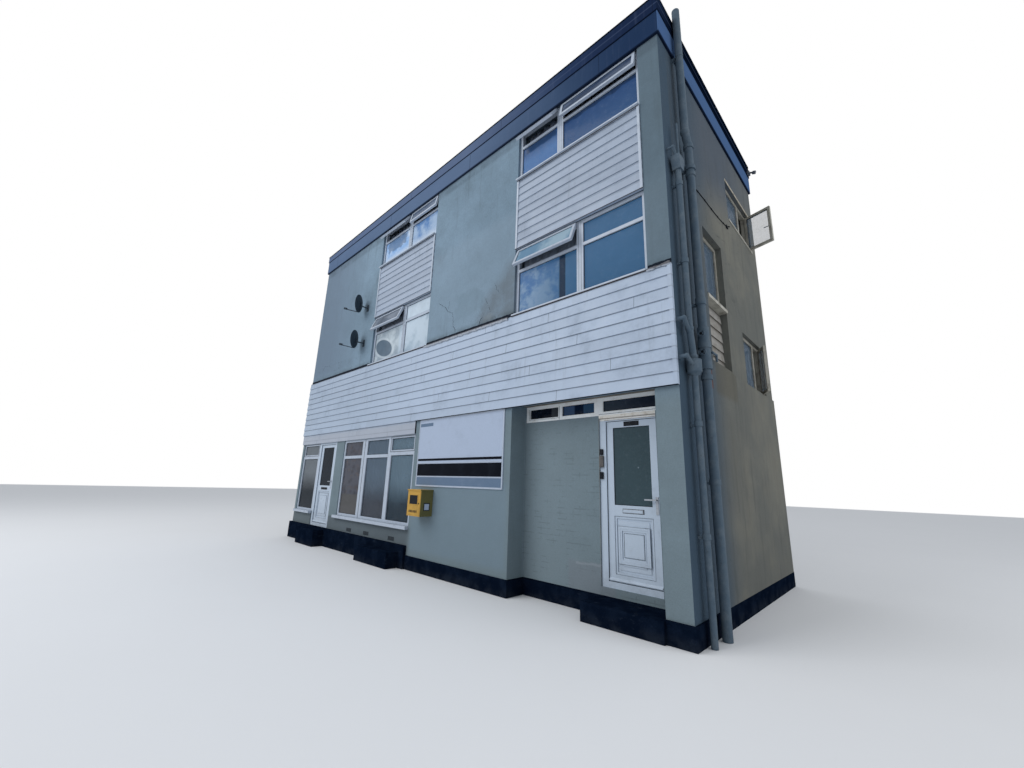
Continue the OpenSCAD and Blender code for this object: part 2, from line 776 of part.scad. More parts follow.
module leaf_glass(x, y, z, w, rim, glass_z, glass_h) {
    translate([x + jamb_w + door_gap, y + door_frame_t - leaf_t, z + threshold_h + door_gap])
        sheet((leaf_t - glass_t) / 2, glass_t)
        glass_face([[rim, leaf_w(w) - 2 * rim, [[glass_z, glass_h]]]]);
}

mid_rail = 138;
panel_sunk = 17;
bead_w = 24;
bead_t = 12;
field_in = 52;
field_t = 8;
shop_door_z = shop_plinth_h;
shop_door_h = shop_head_z - shop_door_z;
entrance_h = entrance_head_z - ground_floor_z;
entrance_y = recess_d + entrance_set;
entrance_glass_z = 922;
entrance_glass_h = 988;
shop_glass_z = 905;
shop_glass_h = 942;

module door_frames() {
    color(white) {
        door_frame(shop_door_x, shop_set, shop_door_z, shop_door_w, shop_door_h);
        door_frame(entrance_x, entrance_y, ground_floor_z, entrance_w, entrance_h);
    }
}

module shop_door() {
    color(white) door_leaf(shop_door_x, shop_set, shop_door_z, shop_door_w, shop_door_h, shop_rim,
        shop_glass_z, shop_glass_h);
}

module shop_door_glass() {
    color(pane) leaf_glass(shop_door_x, shop_set, shop_door_z, shop_door_w, shop_rim, shop_glass_z,
        shop_glass_h);
}

module entrance_door() {
    color(white) door_leaf(entrance_x, entrance_y, ground_floor_z, entrance_w, entrance_h, entrance_rim,
        entrance_glass_z, entrance_glass_h);
}

module entrance_door_glass() {
    color(pane) leaf_glass(entrance_x, entrance_y, ground_floor_z, entrance_w, entrance_rim,
        entrance_glass_z, entrance_glass_h);
}

plate_w = 34;
plate_h = 205;
plate_t = 8;
lever_z = 66;
lever_l = 150;
lever_t = 16;
lever_out = 50;
spindle_d = 18;
letter_h = 46;
letter_rim = 11;

// Lever handle on a back plate, on the outer face, centred on the origin
module lever() {
    translate([-plate_w / 2, -plate_t, -plate_h / 2]) cube([plate_w, plate_t, plate_h]);
    translate([0, -plate_t, lever_z]) rotate([90, 0, 0])
        cylinder(d = spindle_d, h = lever_out - plate_t - lever_t / 2);
    translate([spindle_d / 2 - lever_l, -lever_out, lever_z - spindle_d / 2])
        cube([lever_l, lever_t, spindle_d]);
}

// Letter plate with a flap, centred on the origin
module letter_plate(w) {
    translate([-w / 2, -5, -letter_h / 2]) cube([w, 5, letter_h]);
    translate([-w / 2 + letter_rim, -9, -letter_h / 2 + letter_rim])
        cube([w - 2 * letter_rim, 4, letter_h - 2 * letter_rim]);
}

handle_in = 40;

module door_fittings(x, y, z, w, handle_z, letter_z, letter_w) {
    face = y + door_frame_t - leaf_t;
    translate([x + w - jamb_w - door_gap - handle_in, face, z + handle_z]) lever();
    translate([x + w / 2, face, z + letter_z]) letter_plate(letter_w);
}

module shop_door_fittings() {
    color("silver") door_fittings(shop_door_x, shop_set, shop_door_z, shop_door_w, 1010, 902, 330);
}

module entrance_door_fittings() {
    color("silver") door_fittings(entrance_x, entrance_y, ground_floor_z, entrance_w, 1006, 922, 275);
}

module bay_windows(floor) {
    color(white) for (r = bay_rows(floor))
        front_frame(r[0], window_set, r[1], bay_w, r[2], bay_columns(bay_w, r[2], r[3], r[4]));
}

module first_windows() {
    bay_windows(1);
}

module second_windows() {
    bay_windows(2);
}

// Draws its children once for each open top light, with $w and $h the size of the sash
module top_sashes() {
    for (f = [1, 2], r = bay_rows(f), k = [0, 1]) if (r[5 + k] > 0) {
        c = bay_columns(bay_w, r[2], r[3], r[4])[k];
        $w = c[1] + 2 * sash_lap;
        $h = c[2][1][1] + head_lap + sash_lap;
        sash_place(r[0], window_set, r[1], c, c[2][1], r[5 + k]) children();
    }
}

// The same for the casements of the right wall, hung at their rear edge
module side_sashes() {
    for (r = side_rows()) {
        c = casement_columns(r[2], r[3], r[4])[1];
        $w = c[1] + 2 * sash_lap;
        $h = c[2][0][1] + 2 * sash_lap;
        hinge_x = front_w - side_set + seat + sash_t * cos(r[5]);
        translate([hinge_x, r[0] + c[0] + c[1] + sash_lap, r[1] + c[2][0][0] - sash_lap])
            rotate([0, 0, 90 + r[5]]) translate([-$w, 0, 0]) children();
    }
}

module open_sashes() {
    color(white) {
        top_sashes() sash_frame($w, $h);
        side_sashes() sash_frame($w, $h);
    }
}

module upper_glass() {
    color(pane) {
        for (f = [1, 2], r = bay_rows(f)) {
            columns = bay_columns(bay_w, r[2], r[3], r[4]);
            front_panes(r[0], window_set, r[1], [for (k = [0, 1]) [columns[k][0], columns[k][1],
                r[5 + k] > 0 ? [columns[k][2][0]] : columns[k][2]]]);
        }
        top_sashes() sash_pane($w, $h);
        side_sashes() sash_pane($w, $h);
        for (r = side_rows(), right = [0, 1]) {
            columns = casement_columns(r[2], r[3], r[4]);
            translate([0, r[0], r[1]]) side_sheet(side_window_x(right) + (frame_t - glass_t) / 2, glass_t)
                glass_face(right == 1 ? [columns[0]] : columns);
        }
        translate([0, tall_y, tall_sill_z]) side_sheet(front_w - tall_set - (frame_t + glass_t) / 2, glass_t)
            glass_face(single_column(tall_w, tall_head_z - tall_sill_z));
        for (x = rear_xs(), z = rear_feet())
            translate([x, 0, z]) sheet(depth - side_set - (frame_t + glass_t) / 2, glass_t)
                glass_face(single_column(rear_win_w, rear_win_h));
    }
}

function side_window_x(right) = right == 1 ? front_w - side_set - frame_t : side_set;

sill_out = 60;
side_sill_h = 30;
side_sill_out = 15;

// Sills under the front windows and the windows of the right wall
module window_sills() {
    high = side_rows()[1];
    color(white) {
        for (x = [left_bay_x, right_bay_x], z = [spandrel_top_z, panel_top_z])
            box(x, -sill_out, z, bay_w, sill_out + window_set + frame_t, sill_t);
        box(front_w - tall_set - frame_t, tall_y + seat, tall_board_z, tall_set + frame_t + side_sill_out,
            tall_w - 2 * seat, tall_sill_h);
        box(front_w - side_set + seat, high[0] + seat, high[1], side_set + side_sill_out, high[2] - 2 * seat,
            side_sill_h);
    }
}

module side_windows() {
    color(white) {
        for (r = side_rows(), right = [0, 1])
            translate([0, r[0], r[1]]) side_sheet(side_window_x(right), frame_t)
                frame_face(r[2], r[3], casement_columns(r[2], r[3], r[4]));
        translate([0, tall_y, tall_sill_z]) side_sheet(front_w - tall_set - frame_t, frame_t)
            frame_face(tall_w, tall_head_z - tall_sill_z, single_column(tall_w, tall_head_z - tall_sill_z));
        for (x = rear_xs(), z = rear_feet())
            translate([x, 0, z]) sheet(depth - side_set - frame_t, frame_t)
                frame_face(rear_win_w, rear_win_h, single_column(rear_win_w, rear_win_h));
    }
}

// Boarded panel under the tall window
module side_cladding() {
    pitch = (tall_board_z - tall_foot_z) / tall_boards;
    color(white) translate([front_w - tall_set - frame_t, tall_y, tall_foot_z]) rotate([90, 0, 0])
        mirror([0, 0, 1]) linear_extrude(tall_w)
        polygon(boards_outline(tall_boards, pitch, 0, frame_t, panel_lap));
}

sign_gap = 2;

module sign_board() {
    w = recess_x - sign_wall_x - 2 * sign_margin;
    color("white") box(sign_wall_x + sign_margin, -sign_t, sign_z, w, sign_t,
        band_z - sign_gap - sign_z);
}

cabinet_gap = 300;

module wall_cabinet() {
    color([0.85, 0.65, 0.15])
        box(sign_wall_x + cabinet_gap, -cabinet_d, cabinet_z, cabinet_w, cabinet_d, cabinet_h);
}

dish_z1 = 5785;
dish_z2 = 4840;
dish_gap = 440;
dish_arm = 190;
dish_tilt = 85;
dish_turn = 48;
horn_rise = 8;
dish_deep = 45;
dish_t = 4;
arm_d = 30;
horn_l = 330;
horn_d = 52;
dish_plate_w = 100;
dish_plate_h = 180;
dish_plate_t = 6;

// Dish on its wall bracket, with the feed arm and its horn
module satellite_dish() {
    translate([-dish_plate_w / 2, -dish_plate_t, -dish_plate_h / 2])
        cube([dish_plate_w, dish_plate_t, dish_plate_h]);
    rotate([90, 0, 0]) cylinder(d = arm_d, h = dish_arm);
    translate([0, -dish_arm, -arm_d]) cylinder(d = arm_d, h = 4 * arm_d);
    translate([0, -dish_arm, 2 * arm_d]) rotate([dish_tilt, 0, -dish_turn]) {
        rotate_extrude() polygon(concat(
            [for (i = [0:8]) [dish_d / 2 * i / 8, arm_d / 2 + dish_deep * pow(i / 8, 2)]],
            [for (i = [8:-1:0]) [dish_d / 2 * i / 8, arm_d / 2 + dish_t + dish_deep * pow(i / 8, 2)]]));
        cylinder(d = arm_d, h = arm_d / 2 + dish_t);
        translate([0, -dish_d / 2, arm_d / 2 + dish_deep]) rotate([-horn_rise, 0, 0]) {
            translate([-9, -9, -dish_deep / 2]) cube([18, 18, horn_l]);
            translate([0, 12, horn_l - 50]) cylinder(d = horn_d, h = 70);
        }
    }
}

module satellite_dishes() {
    color(dark) for (z = [dish_z1, dish_z2]) translate([left_bay_x - dish_gap, 0, z]) satellite_dish();
}

collar_t = 8;
bracket_h = 30;
offset_top_z = 6370;
offset_foot_z = 6210;

// Round pipe between two points in the plane of the right wall
module pipe_run(y1, z1, y2, z2, d) {
    run = sqrt(pow(y2 - y1, 2) + pow(z2 - z1, 2));
    translate([0, y1, z1]) rotate([-atan2(y2 - y1, z2 - z1), 0, 0]) cylinder(d = d, h = run);
}

// Collar round a pipe of diameter d, with a bracket back to the wall, out behind it, when held
module pipe_collar(y, z, d, grow, h, out, held = true) {
    translate([0, y, z]) cylinder(d = d + 2 * grow, h = h);
    if (held) translate([-out, y - d / 4, z]) cube([out, d / 2, min(h, bracket_h)]);
}

// Soil stack: collars are [foot, growth over the pipe, height, held to the wall]
stack_collars = [[2830, 12, 60, false], [2960, 20, 125, false], [3085, 14, 143, false], [3228, 22, 82, false],
                 [3310, 14, 190, false], [3804, 9, 92, true], [1600, 8, 60, true], [5700, 10, 60, false],
                 [5800, 17, 60, true], [6150, 12, 50, false]];
// Round access covers of the stack, and the branch that rises beside it
cover_zs = [3170, 3405];
cover_d = 84;
cover_out = 84;
branch_d = 62;
branch_y = 88;
branch_z = 3120;
branch_h = 400;
vent_collar_z = 7680;
overflow_d = 32;
overflow_y = 1010;
overflow_z = 3300;
overflow_l = 150;
overflow_drop = 90;
overflow_out = 60;
overflow_elbow_d = overflow_d + 4;

module soil_stack() {
    color(render_grey) {
        translate([front_w + stack_out, 0, 0]) {
            pipe_run(stack_y, 0, stack_y, offset_foot_z, stack_d);
            pipe_run(stack_y, offset_foot_z, vent_y, offset_top_z, stack_d);
            pipe_run(vent_y, offset_top_z, vent_y, vent_top_z, stack_d);
            translate([0, stack_y, offset_foot_z]) sphere(d = stack_d + 2 * collar_t);
            translate([0, vent_y, offset_top_z]) sphere(d = stack_d + 2 * collar_t);
            for (c = stack_collars) pipe_collar(stack_y, c[0], stack_d, c[1], c[2], stack_out, c[3]);
            pipe_collar(vent_y, vent_collar_z, stack_d, collar_t / 2, bracket_h, stack_out);
            for (z = cover_zs) translate([0, stack_y, z]) rotate([90, 0, 0])
                cylinder(d = cover_d, h = cover_out);
            translate([0, stack_y + branch_y, branch_z]) cylinder(d = branch_d, h = branch_h);
        }
        translate([front_w, overflow_y, overflow_z]) rotate([0, 90, 0])
            cylinder(d = overflow_d, h = overflow_out);
        translate([front_w + overflow_out, overflow_y, overflow_z]) sphere(d = overflow_elbow_d);
        translate([front_w + overflow_out, overflow_y, overflow_z]) rotate([-90, 0, 0])
            cylinder(d = overflow_d, h = overflow_l);
        translate([front_w + overflow_out, overflow_y + overflow_l, overflow_z]) sphere(d = overflow_elbow_d);
        translate([front_w + overflow_out, overflow_y + overflow_l, overflow_z - overflow_drop])
            cylinder(d = overflow_d, h = overflow_drop);
    }
}

bracket_zs = [4230, 5330];
tail_bracket_zs = [1030, 2230];
hopper_w = 160;
hopper_foot_w = 104;
hopper_deep = 110;
hopper_z = 5760;
hopper_h = 200;
hopper_rim = 60;
elbow_top_z = 3380;
elbow_foot_z = 3050;
tail_y = 245;
tail_d = 72;
bowl_z = 2815;
bowl_h = 190;
bowl_foot_h = 45;
bowl_d = 168;
waste_d = 50;
waste_y = 35;
waste_z = 3470;
waste_drop = 150;
low_waste_z = 3010;
low_waste_drop = 90;
inlet_d = 33;
inlet_y = 235;
inlet_top_z = 6330;
hopper_inlet_y = 60;
hopper_inlet_z = 5850;

// Short pipe out of the wall that turns down towards a point (y2, z2) beside the downpipe
module wall_branch(y, z, y2, z2, d) {
    translate([-downpipe_out, y, z]) rotate([0, 90, 0]) cylinder(d = d, h = downpipe_out);
    translate([0, y, z]) sphere(d = d + collar_t);
    pipe_run(y, z, y2, z2, d);
}

module downpipe() {
    low_y = downpipe_y - hopper_w / 2;
    color(render_grey) translate([front_w + downpipe_out, 0, 0]) {
        translate([-hopper_deep / 2, 0, 0]) rotate([90, 0, 90]) linear_extrude(hopper_deep) polygon([
            [downpipe_y - hopper_foot_w / 2, hopper_z - hopper_h],
            [downpipe_y + hopper_foot_w / 2, hopper_z - hopper_h],
            [low_y + hopper_w, hopper_z - hopper_rim], [low_y + hopper_w, hopper_z],
            [low_y, hopper_z], [low_y, hopper_z - hopper_rim]]);
        pipe_run(downpipe_y, elbow_top_z, downpipe_y, hopper_z - hopper_h, downpipe_d);
        pipe_run(tail_y, elbow_foot_z, downpipe_y, elbow_top_z, downpipe_d);
        pipe_run(tail_y, bowl_z, tail_y, elbow_foot_z, downpipe_d);
        pipe_run(tail_y, 0, tail_y, bowl_z, tail_d);
        translate([0, downpipe_y, elbow_top_z]) sphere(d = downpipe_d + 2 * collar_t);
        translate([0, tail_y, elbow_foot_z]) sphere(d = downpipe_d + 2 * collar_t);
        translate([0, tail_y, bowl_z]) rotate_extrude() polygon([[0, 0], [tail_d / 2, 0],
            [bowl_d / 2, bowl_foot_h], [bowl_d / 2, bowl_h], [0, bowl_h]]);
        for (z = bracket_zs) pipe_collar(downpipe_y, z, downpipe_d, collar_t, bracket_h * 2, downpipe_out);
        for (z = tail_bracket_zs) pipe_collar(tail_y, z, tail_d, collar_t, bracket_h * 2, downpipe_out);
        wall_branch(waste_y, waste_z, downpipe_y, waste_z - waste_drop, waste_d);
        wall_branch(waste_y, low_waste_z, tail_y, low_waste_z - low_waste_drop, waste_d);
        wall_branch(hopper_inlet_y, hopper_inlet_z, downpipe_y, hopper_z - hopper_rim, inlet_d);
        pipe_run(inlet_y, hopper_z - hopper_rim, inlet_y, inlet_top_z, inlet_d);
    }
}

site() ground_floor();
site() first_floor();
site() second_floor();
site() roof_deck();
site() plinth();
site() front_steps();
site() front_piers();
site() sign_wall();
site() stall_riser();
site() shop_lintel();
site() recess_wall();
site() recess_rail();
site() spandrel_wall();
site() upper_front_wall();
site() bay_infill();
site() bay_panels();
site() left_wall();
site() right_wall();
site() rear_wall();
site() cladding_band();
site() fascia_lower();
site() fascia_upper();
site() roof_capping();
site() shop_board();
site() shop_windows();
site() front_glass();
site() door_frames();
site() shop_door();
site() shop_door_glass();
site() shop_door_fittings();
site() entrance_door();
site() entrance_door_glass();
site() entrance_door_fittings();
site() first_windows();
site() second_windows();
site() open_sashes();
site() upper_glass();
site() window_sills();
site() side_windows();
site() side_cladding();
site() sign_board();
site() wall_cabinet();
site() satellite_dishes();
site() soil_stack();
site() downpipe();
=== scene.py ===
import json
import math
import random

import bmesh
import bpy
from mathutils import Matrix, Vector


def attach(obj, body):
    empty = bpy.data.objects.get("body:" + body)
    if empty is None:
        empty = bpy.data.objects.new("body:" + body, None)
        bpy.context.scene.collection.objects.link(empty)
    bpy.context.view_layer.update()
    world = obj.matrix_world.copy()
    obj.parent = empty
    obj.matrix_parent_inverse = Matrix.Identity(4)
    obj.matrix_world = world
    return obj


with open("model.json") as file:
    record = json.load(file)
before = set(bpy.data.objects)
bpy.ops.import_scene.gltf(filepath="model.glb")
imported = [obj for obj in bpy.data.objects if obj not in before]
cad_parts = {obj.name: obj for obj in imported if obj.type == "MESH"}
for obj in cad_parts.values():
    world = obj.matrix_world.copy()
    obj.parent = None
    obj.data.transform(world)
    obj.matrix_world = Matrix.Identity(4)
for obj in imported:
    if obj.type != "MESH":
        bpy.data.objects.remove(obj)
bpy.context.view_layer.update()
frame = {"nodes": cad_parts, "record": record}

nodes = frame["nodes"]
scene = bpy.context.scene

# Street coordinates: x from the left end of the front, y from its face inwards, z from the lowest ground
FRONT_W, DEPTH = 10.7, 4.4

# Foot of the boarded band and height of a board, left edges of the bays, heights of the panel in each bay
BAND_Z, BOARD = 2.68, 0.15
BAYS, BAY_W = (3.36, 8.08), 2.31
PANEL = (5.401, 6.739)

# Rectangles of the front as x1, x2, z1, z2 and the y of their faces: door leaves, sign board, wall cabinet
SHOP_LEAF, SHOP_FACE = (1.215, 2.065, 0.466, 2.385), 0.0398
ENTRANCE_LEAF, ENTRANCE_FACE = (9.519, 10.229, 0.401, 2.399), 0.3898
SIGN, SIGN_FACE = (5.707, 7.973, 1.452, 2.678), -0.0123
CABINET, CABINET_FACE = (5.867, 6.264, 0.95, 1.376), -0.25

# Outer and inner field of the lower panel of the entrance leaf
OUTER_FIELD, INNER_FIELD = (9.663, 10.085, 0.625, 1.064), (9.742, 10.006, 0.704, 0.985)


def street(x, y, z):
    """Place in the shared frame of a point given in street coordinates."""
    return Vector((x - FRONT_W / 2, y - DEPTH / 2, z))


def srgb(*channels):
    """Linear colour from red, green and blue of 0 to 255."""
    parts = [c / 255.0 for c in channels]
    return tuple(c / 12.92 if c <= 0.04045 else ((c + 0.055) / 1.055) ** 2.4 for c in parts) + (1.0,)


# Shader building

materials = {}


def operator(operation):
    """Method of Value that makes a math node."""
    return lambda self, other=0.0: self.shader.math(operation, self, other)


class Value:
    """A number or a mask inside a material: arithmetic on it makes the math nodes."""

    def __init__(self, shader, socket):
        self.shader = shader
        self.socket = socket

    __add__ = operator("ADD")
    __sub__ = operator("SUBTRACT")
    __mul__ = operator("MULTIPLY")
    __truediv__ = operator("DIVIDE")
    __mod__ = operator("MODULO")
    __or__ = operator("MAXIMUM")
    __abs__ = operator("ABSOLUTE")
    floor = operator("FLOOR")
    fract = operator("FRACT")

    def __rsub__(self, other):
        return self.shader.math("SUBTRACT", other, self)

    def fit(self, a, b, lo=0.0, hi=1.0, soft=True):
        """lo where this is a, hi where it is b, and held beyond them; b may be the smaller one."""
        ends = {"Value": self, "From Min": a, "From Max": b, "To Min": lo, "To Max": hi}
        n = self.shader.node("MapRange", ends, interpolation_type="SMOOTHSTEP" if soft else "LINEAR")
        return Value(self.shader, n.outputs["Result"])

    def window(self, lo, hi, edge):
        """1 between lo and hi, falling to 0 over edge beyond them."""
        return self.fit(lo - edge, lo) * self.fit(hi + edge, hi)


class Shader:
    """A node material, filed by its name, with short calls for nodes; a tuple for an input is a colour."""

    def __init__(self, name, rough, spec, metallic=0.0):
        self.mat = materials[name] = bpy.data.materials.new(name)
        self.mat.use_nodes = True
        self.tree = self.mat.node_tree
        self.surface = self.tree.nodes["Principled BSDF"].inputs
        for socket, value in (("Roughness", rough), ("Metallic", metallic), ("Specular IOR Level", spec)):
            self.surface[socket].default_value = value
        self.pos = self.node("TexCoord", {}).outputs["Object"]
        xyz = self.node("SeparateXYZ", {0: self.pos}).outputs
        self.x = Value(self, xyz[0]) + FRONT_W / 2
        self.y = Value(self, xyz[1]) + DEPTH / 2
        self.z = Value(self, xyz[2])

    def node(self, kind, inputs, **settings):
        """New node with its settings, and values or links for the inputs that are named or numbered."""
        n = self.tree.nodes.new("ShaderNode" + kind)
        for key, value in settings.items():
            setattr(n, key, value)
        for key, value in inputs.items():
            self.put(n.inputs[key], value)
        return n

    def put(self, socket, value):
        if isinstance(value, Value):
            value = value.socket
        if isinstance(value, bpy.types.NodeSocket):
            self.tree.links.new(value, socket)
        else:
            socket.default_value = srgb(*value) if isinstance(value, tuple) else value

    def math(self, operation, a, b=0.0, clamp=False):
        n = self.node("Math", {0: a, 1: b}, operation=operation, use_clamp=clamp)
        return Value(self, n.outputs[0])

    def coords(self, stretch, shift):
        n = self.node("Mapping", {"Vector": self.pos})
        n.inputs["Scale"].default_value = stretch
        n.inputs["Location"].default_value = shift
        return n.outputs[0]

    def noise(self, scale, detail, rough=0.55, stretch=(1, 1, 1), shift=(0, 0, 0)):
        n = self.node("TexNoise", {"Scale": scale, "Detail": detail, "Roughness": rough,
                                   "Vector": self.coords(stretch, shift)})
        return Value(self, n.outputs["Fac"])

    def cells(self, scale, feature, stretch=(1, 1, 1), shift=(0, 0, 0)):
        n = self.node("TexVoronoi", {"Scale": scale, "Vector": self.coords(stretch, shift)}, feature=feature)
        return Value(self, n.outputs["Distance"])

    def area(self, ax, x1, x2, az, z1, z2, edge):
        """1 inside a rectangle, falling to 0 over edge round it."""
        return ax.window(x1, x2, edge) * az.window(z1, z2, edge)

    def recess(self):
        """1 on everything behind the front walls, such as the back of the entrance recess."""
        return self.y.fit(0.3, 0.32)

    def runs(self, across, down, lo, hi, detail=6, rough=0.7, shift=(0, 0, 0)):
        """Streaks that run down, narrow where across is large and long where down is small."""
        return self.noise(1.0, detail, rough, (across, across, down), shift).fit(lo, hi)

    def mix(self, fac, a, b, blend="MIX"):
        return self.node("Mix", {0: fac, 6: a, 7: b}, data_type="RGBA", blend_type=blend).outputs[2]

    def tone(self, color, fac, dark, light):
        """Colour times a grey between dark and light as fac goes from 0 to 1."""
        grey = fac.fit(0.0, 1.0, dark, light, soft=False)
        factor = self.node("CombineXYZ", {0: grey, 1: grey, 2: grey}).outputs[0]
        return self.mix(1.0, color, factor, "MULTIPLY")

    def cover(self, alpha):
        """How much of what lies behind is hidden, held between 0 and 1."""
        self.put(self.surface["Alpha"], self.math("ADD", alpha, 0.0, clamp=True))

    def finish(self, color, rough, *bumps):
        """Wires up the colour, the roughness and a row of bumps, each a height, its distance and strength."""
        self.put(self.surface["Base Color"], color)
        self.put(self.surface["Roughness"], rough)
        normal = self.surface["Normal"]
        for height, distance, strength in bumps:
            n = self.node("Bump", {"Height": height, "Distance": distance, "Strength": strength})
            if normal.links:
                self.tree.links.new(normal.links[0].from_socket, n.inputs["Normal"])
            self.tree.links.new(n.outputs[0], normal)


# Materials

def render_layers(name, base, pale, stain, along=0.0):
    """Sand and cement render with patches moved along, grain, runs below the ledges and grime at the foot."""
    s = Shader(name, 0.9, 0.18)
    big = s.noise(0.55, 4, 0.6, shift=(3.1 + along, 0.7, 1.9))
    mid = s.noise(3.2, 6, 0.68)
    fine = s.noise(70.0, 4, 0.7)
    col = s.mix(big.fit(0.35, 0.68), base, pale)
    for grain, dark, light in ((mid, 0.8, 1.18), (s.noise(26.0, 3, 0.7), 0.8, 1.19), (fine, 0.74, 1.25)):
        col = s.tone(col, grain, dark, light)
    runs = s.runs(7.0, 0.55, 0.52, 0.72, rough=0.66, shift=(1.7, 0.0, 4.0))
    blotch = s.noise(1.15, 5, 0.65, shift=(9.0, 2.0, 5.0)).fit(0.52, 0.7)
    under = s.z.window(7.2, 7.9, 0.5) | s.z.window(6.1, 6.7, 0.5) | s.z.window(4.1, 4.7, 0.5)
    foot = s.z.fit(1.1, 0.3) * mid.fit(0.35, 0.65, 0.35, 1.0)
    for mask in (runs * (under * 0.3 + 0.1), blotch * 0.26, foot * 0.35):
        col = s.mix(mask, col, stain)
    return s, col, mid, fine, blotch


def cracks(s, col, where):
    """Short ragged hair cracks where the mask asks for them; returns the colour and the line."""
    wobble = s.noise(7.0, 6, 0.8, shift=(5.0, 5.0, 0.0)) * 0.2 - 0.1
    cell = s.cells(2.1, "DISTANCE_TO_EDGE", shift=(0.0, 0.0, 0.37)) + wobble
    line = abs(cell).fit(0.01, 0.0) * where * s.noise(5.0, 3, 0.6).fit(0.45, 0.58)
    return s.mix(line * 0.7, col, (52, 58, 62)), line


def finish_render(s, col, line, mid, fine, blotch):
    bumps = ((fine, 0.005, 0.9), (mid, 0.016, 0.5), (blotch, 0.006, 0.25), (line * -1.0, 0.003, 0.8))
    s.finish(col, mid.fit(0.3, 0.7, 0.84, 0.96), *bumps)


def side_tones(s):
    """Colour of the right wall: dark next to the front, olive and paler towards the rear and the foot."""
    near = s.y.fit(1.75, 0.75) * s.x.fit(2.0, 8.0, 0.5, 1.0)
    pale = s.noise(0.8, 4, 0.6, shift=(0, 3, 0)).fit(0.38, 0.66)
    high = (s.z - s.y * 0.35).fit(4.9, 6.1) * s.y.fit(2.4, 4.2, 1.0, 0.55)
    far = s.mix(high, s.mix(pale, (102, 104, 100), (120, 119, 110)), (70, 83, 99))
    return s.mix(near, far, (60, 78, 94))


def wall_tones(s, col, mid, fine):
    """The tones of the front: greyer below the band, painted shade over the upper left end, paler between the
    bays.
    """
    ground = s.tone(s.tone((112, 126, 131), mid, 0.84, 1.14), fine, 0.85, 1.13)
    col = s.mix(s.z.fit(2.9, 2.4) * 0.75, col, ground)
    riser = s.z.fit(0.72, 0.66) * s.x.fit(5.7, 5.5)
    riser_col = s.mix(s.x.fit(1.1, 2.2), (96, 104, 108), (86, 94, 100))
    col = s.mix(riser * 0.75, col, s.tone(riser_col, mid, 0.8, 1.16))
    shade = s.x.fit(3.3, 0.6) * s.z.fit(4.1, 4.5)
    col = s.mix(shade * 0.85, col, s.tone((103, 119, 136), mid, 0.9, 1.1))
    between = s.area(s.x, 5.7, 8.0, s.z, 4.2, 6.0, 0.3)
    return s.mix(between * 0.3, col, (136, 154, 170))


def recess_tones(s, col, mid, fine):
    """Painted light that lifts the shade towards the left end of the recess, courses of brick that show
    faintly through the paint of the recess, and a plaster patch by the door.
    """
    course, brick, bond = 0.075, 0.225, 0.1125
    inside = s.recess() * s.z.fit(2.6, 2.5)
    # painted light: the recess is paler towards its left end, to lift the shade there
    col = s.mix(inside * s.x.fit(9.7, 8.2, 0.0, 0.42), col, s.tone((130, 145, 153), fine, 0.86, 1.12))
    level = s.z / course
    bed = abs(level.fract() - 0.5)
    along = level.floor() % 2.0 * bond + s.x
    upright = abs((along / brick).fract() - 0.5)
    joints = bed.fit(0.14, 0.04) | upright.fit(0.045, 0.012)
    joints = joints * s.noise(5.0, 4, 0.65).fit(0.48, 0.62) * inside
    col = s.mix(joints * 0.3, col, (82, 94, 100))
    ragged_z = s.noise(8.0, 4, 0.6) * 0.1 + s.z
    plaster = s.area(s.x, 8.95, 9.6, ragged_z, 0.1, 0.61, 0.05) * inside
    col = s.mix(plaster * 0.45, col, s.tone((118, 124, 133), mid, 0.88, 1.12))
    streak = s.area(s.x, 9.05, 9.5, ragged_z, 0.61, 0.622, 0.015) * inside
    return s.mix(streak * 0.35, col, (150, 158, 165)), joints


def damp_marks(s, col, mid):
    """Damp and old repairs between the bays, a darker line along the top of the band, and grime below the
    fascia.
    """
    rag = s.noise(4.5, 5, 0.7, shift=(4, 1, 2)) * 0.5 - 0.25
    x, z = s.x + rag, s.z + rag
    col = s.mix(s.area(x, 6.6, 7.3, z, 4.55, 4.95, 0.1) * 0.22, col, (96, 116, 126))
    slant = (s.x - BAYS[1]) * 0.9 + 5.55 - z
    damp = slant.fit(0.0, 0.5) * s.area(x, 7.3, 8.2, z, 4.0, 5.35, 0.12) * mid.fit(0.3, 0.6, 0.45, 1.0)
    col = s.mix(damp * 0.62, col, (96, 102, 107))
    col = s.mix(s.area(x, 7.36, 7.52, z, 4.2, 4.34, 0.05) * 0.3, col, (134, 142, 146))
    # darker along the top of the band
    top = s.z.window(4.19, 4.24, 0.12) * mid.fit(0.35, 0.6)
    col = s.mix(top * 0.55, col, (72, 84, 88))
    drip = s.z.window(7.6, 7.76, 0.1) * mid.fit(0.3, 0.6)
    return s.mix(drip * 0.45, col, (70, 82, 92))


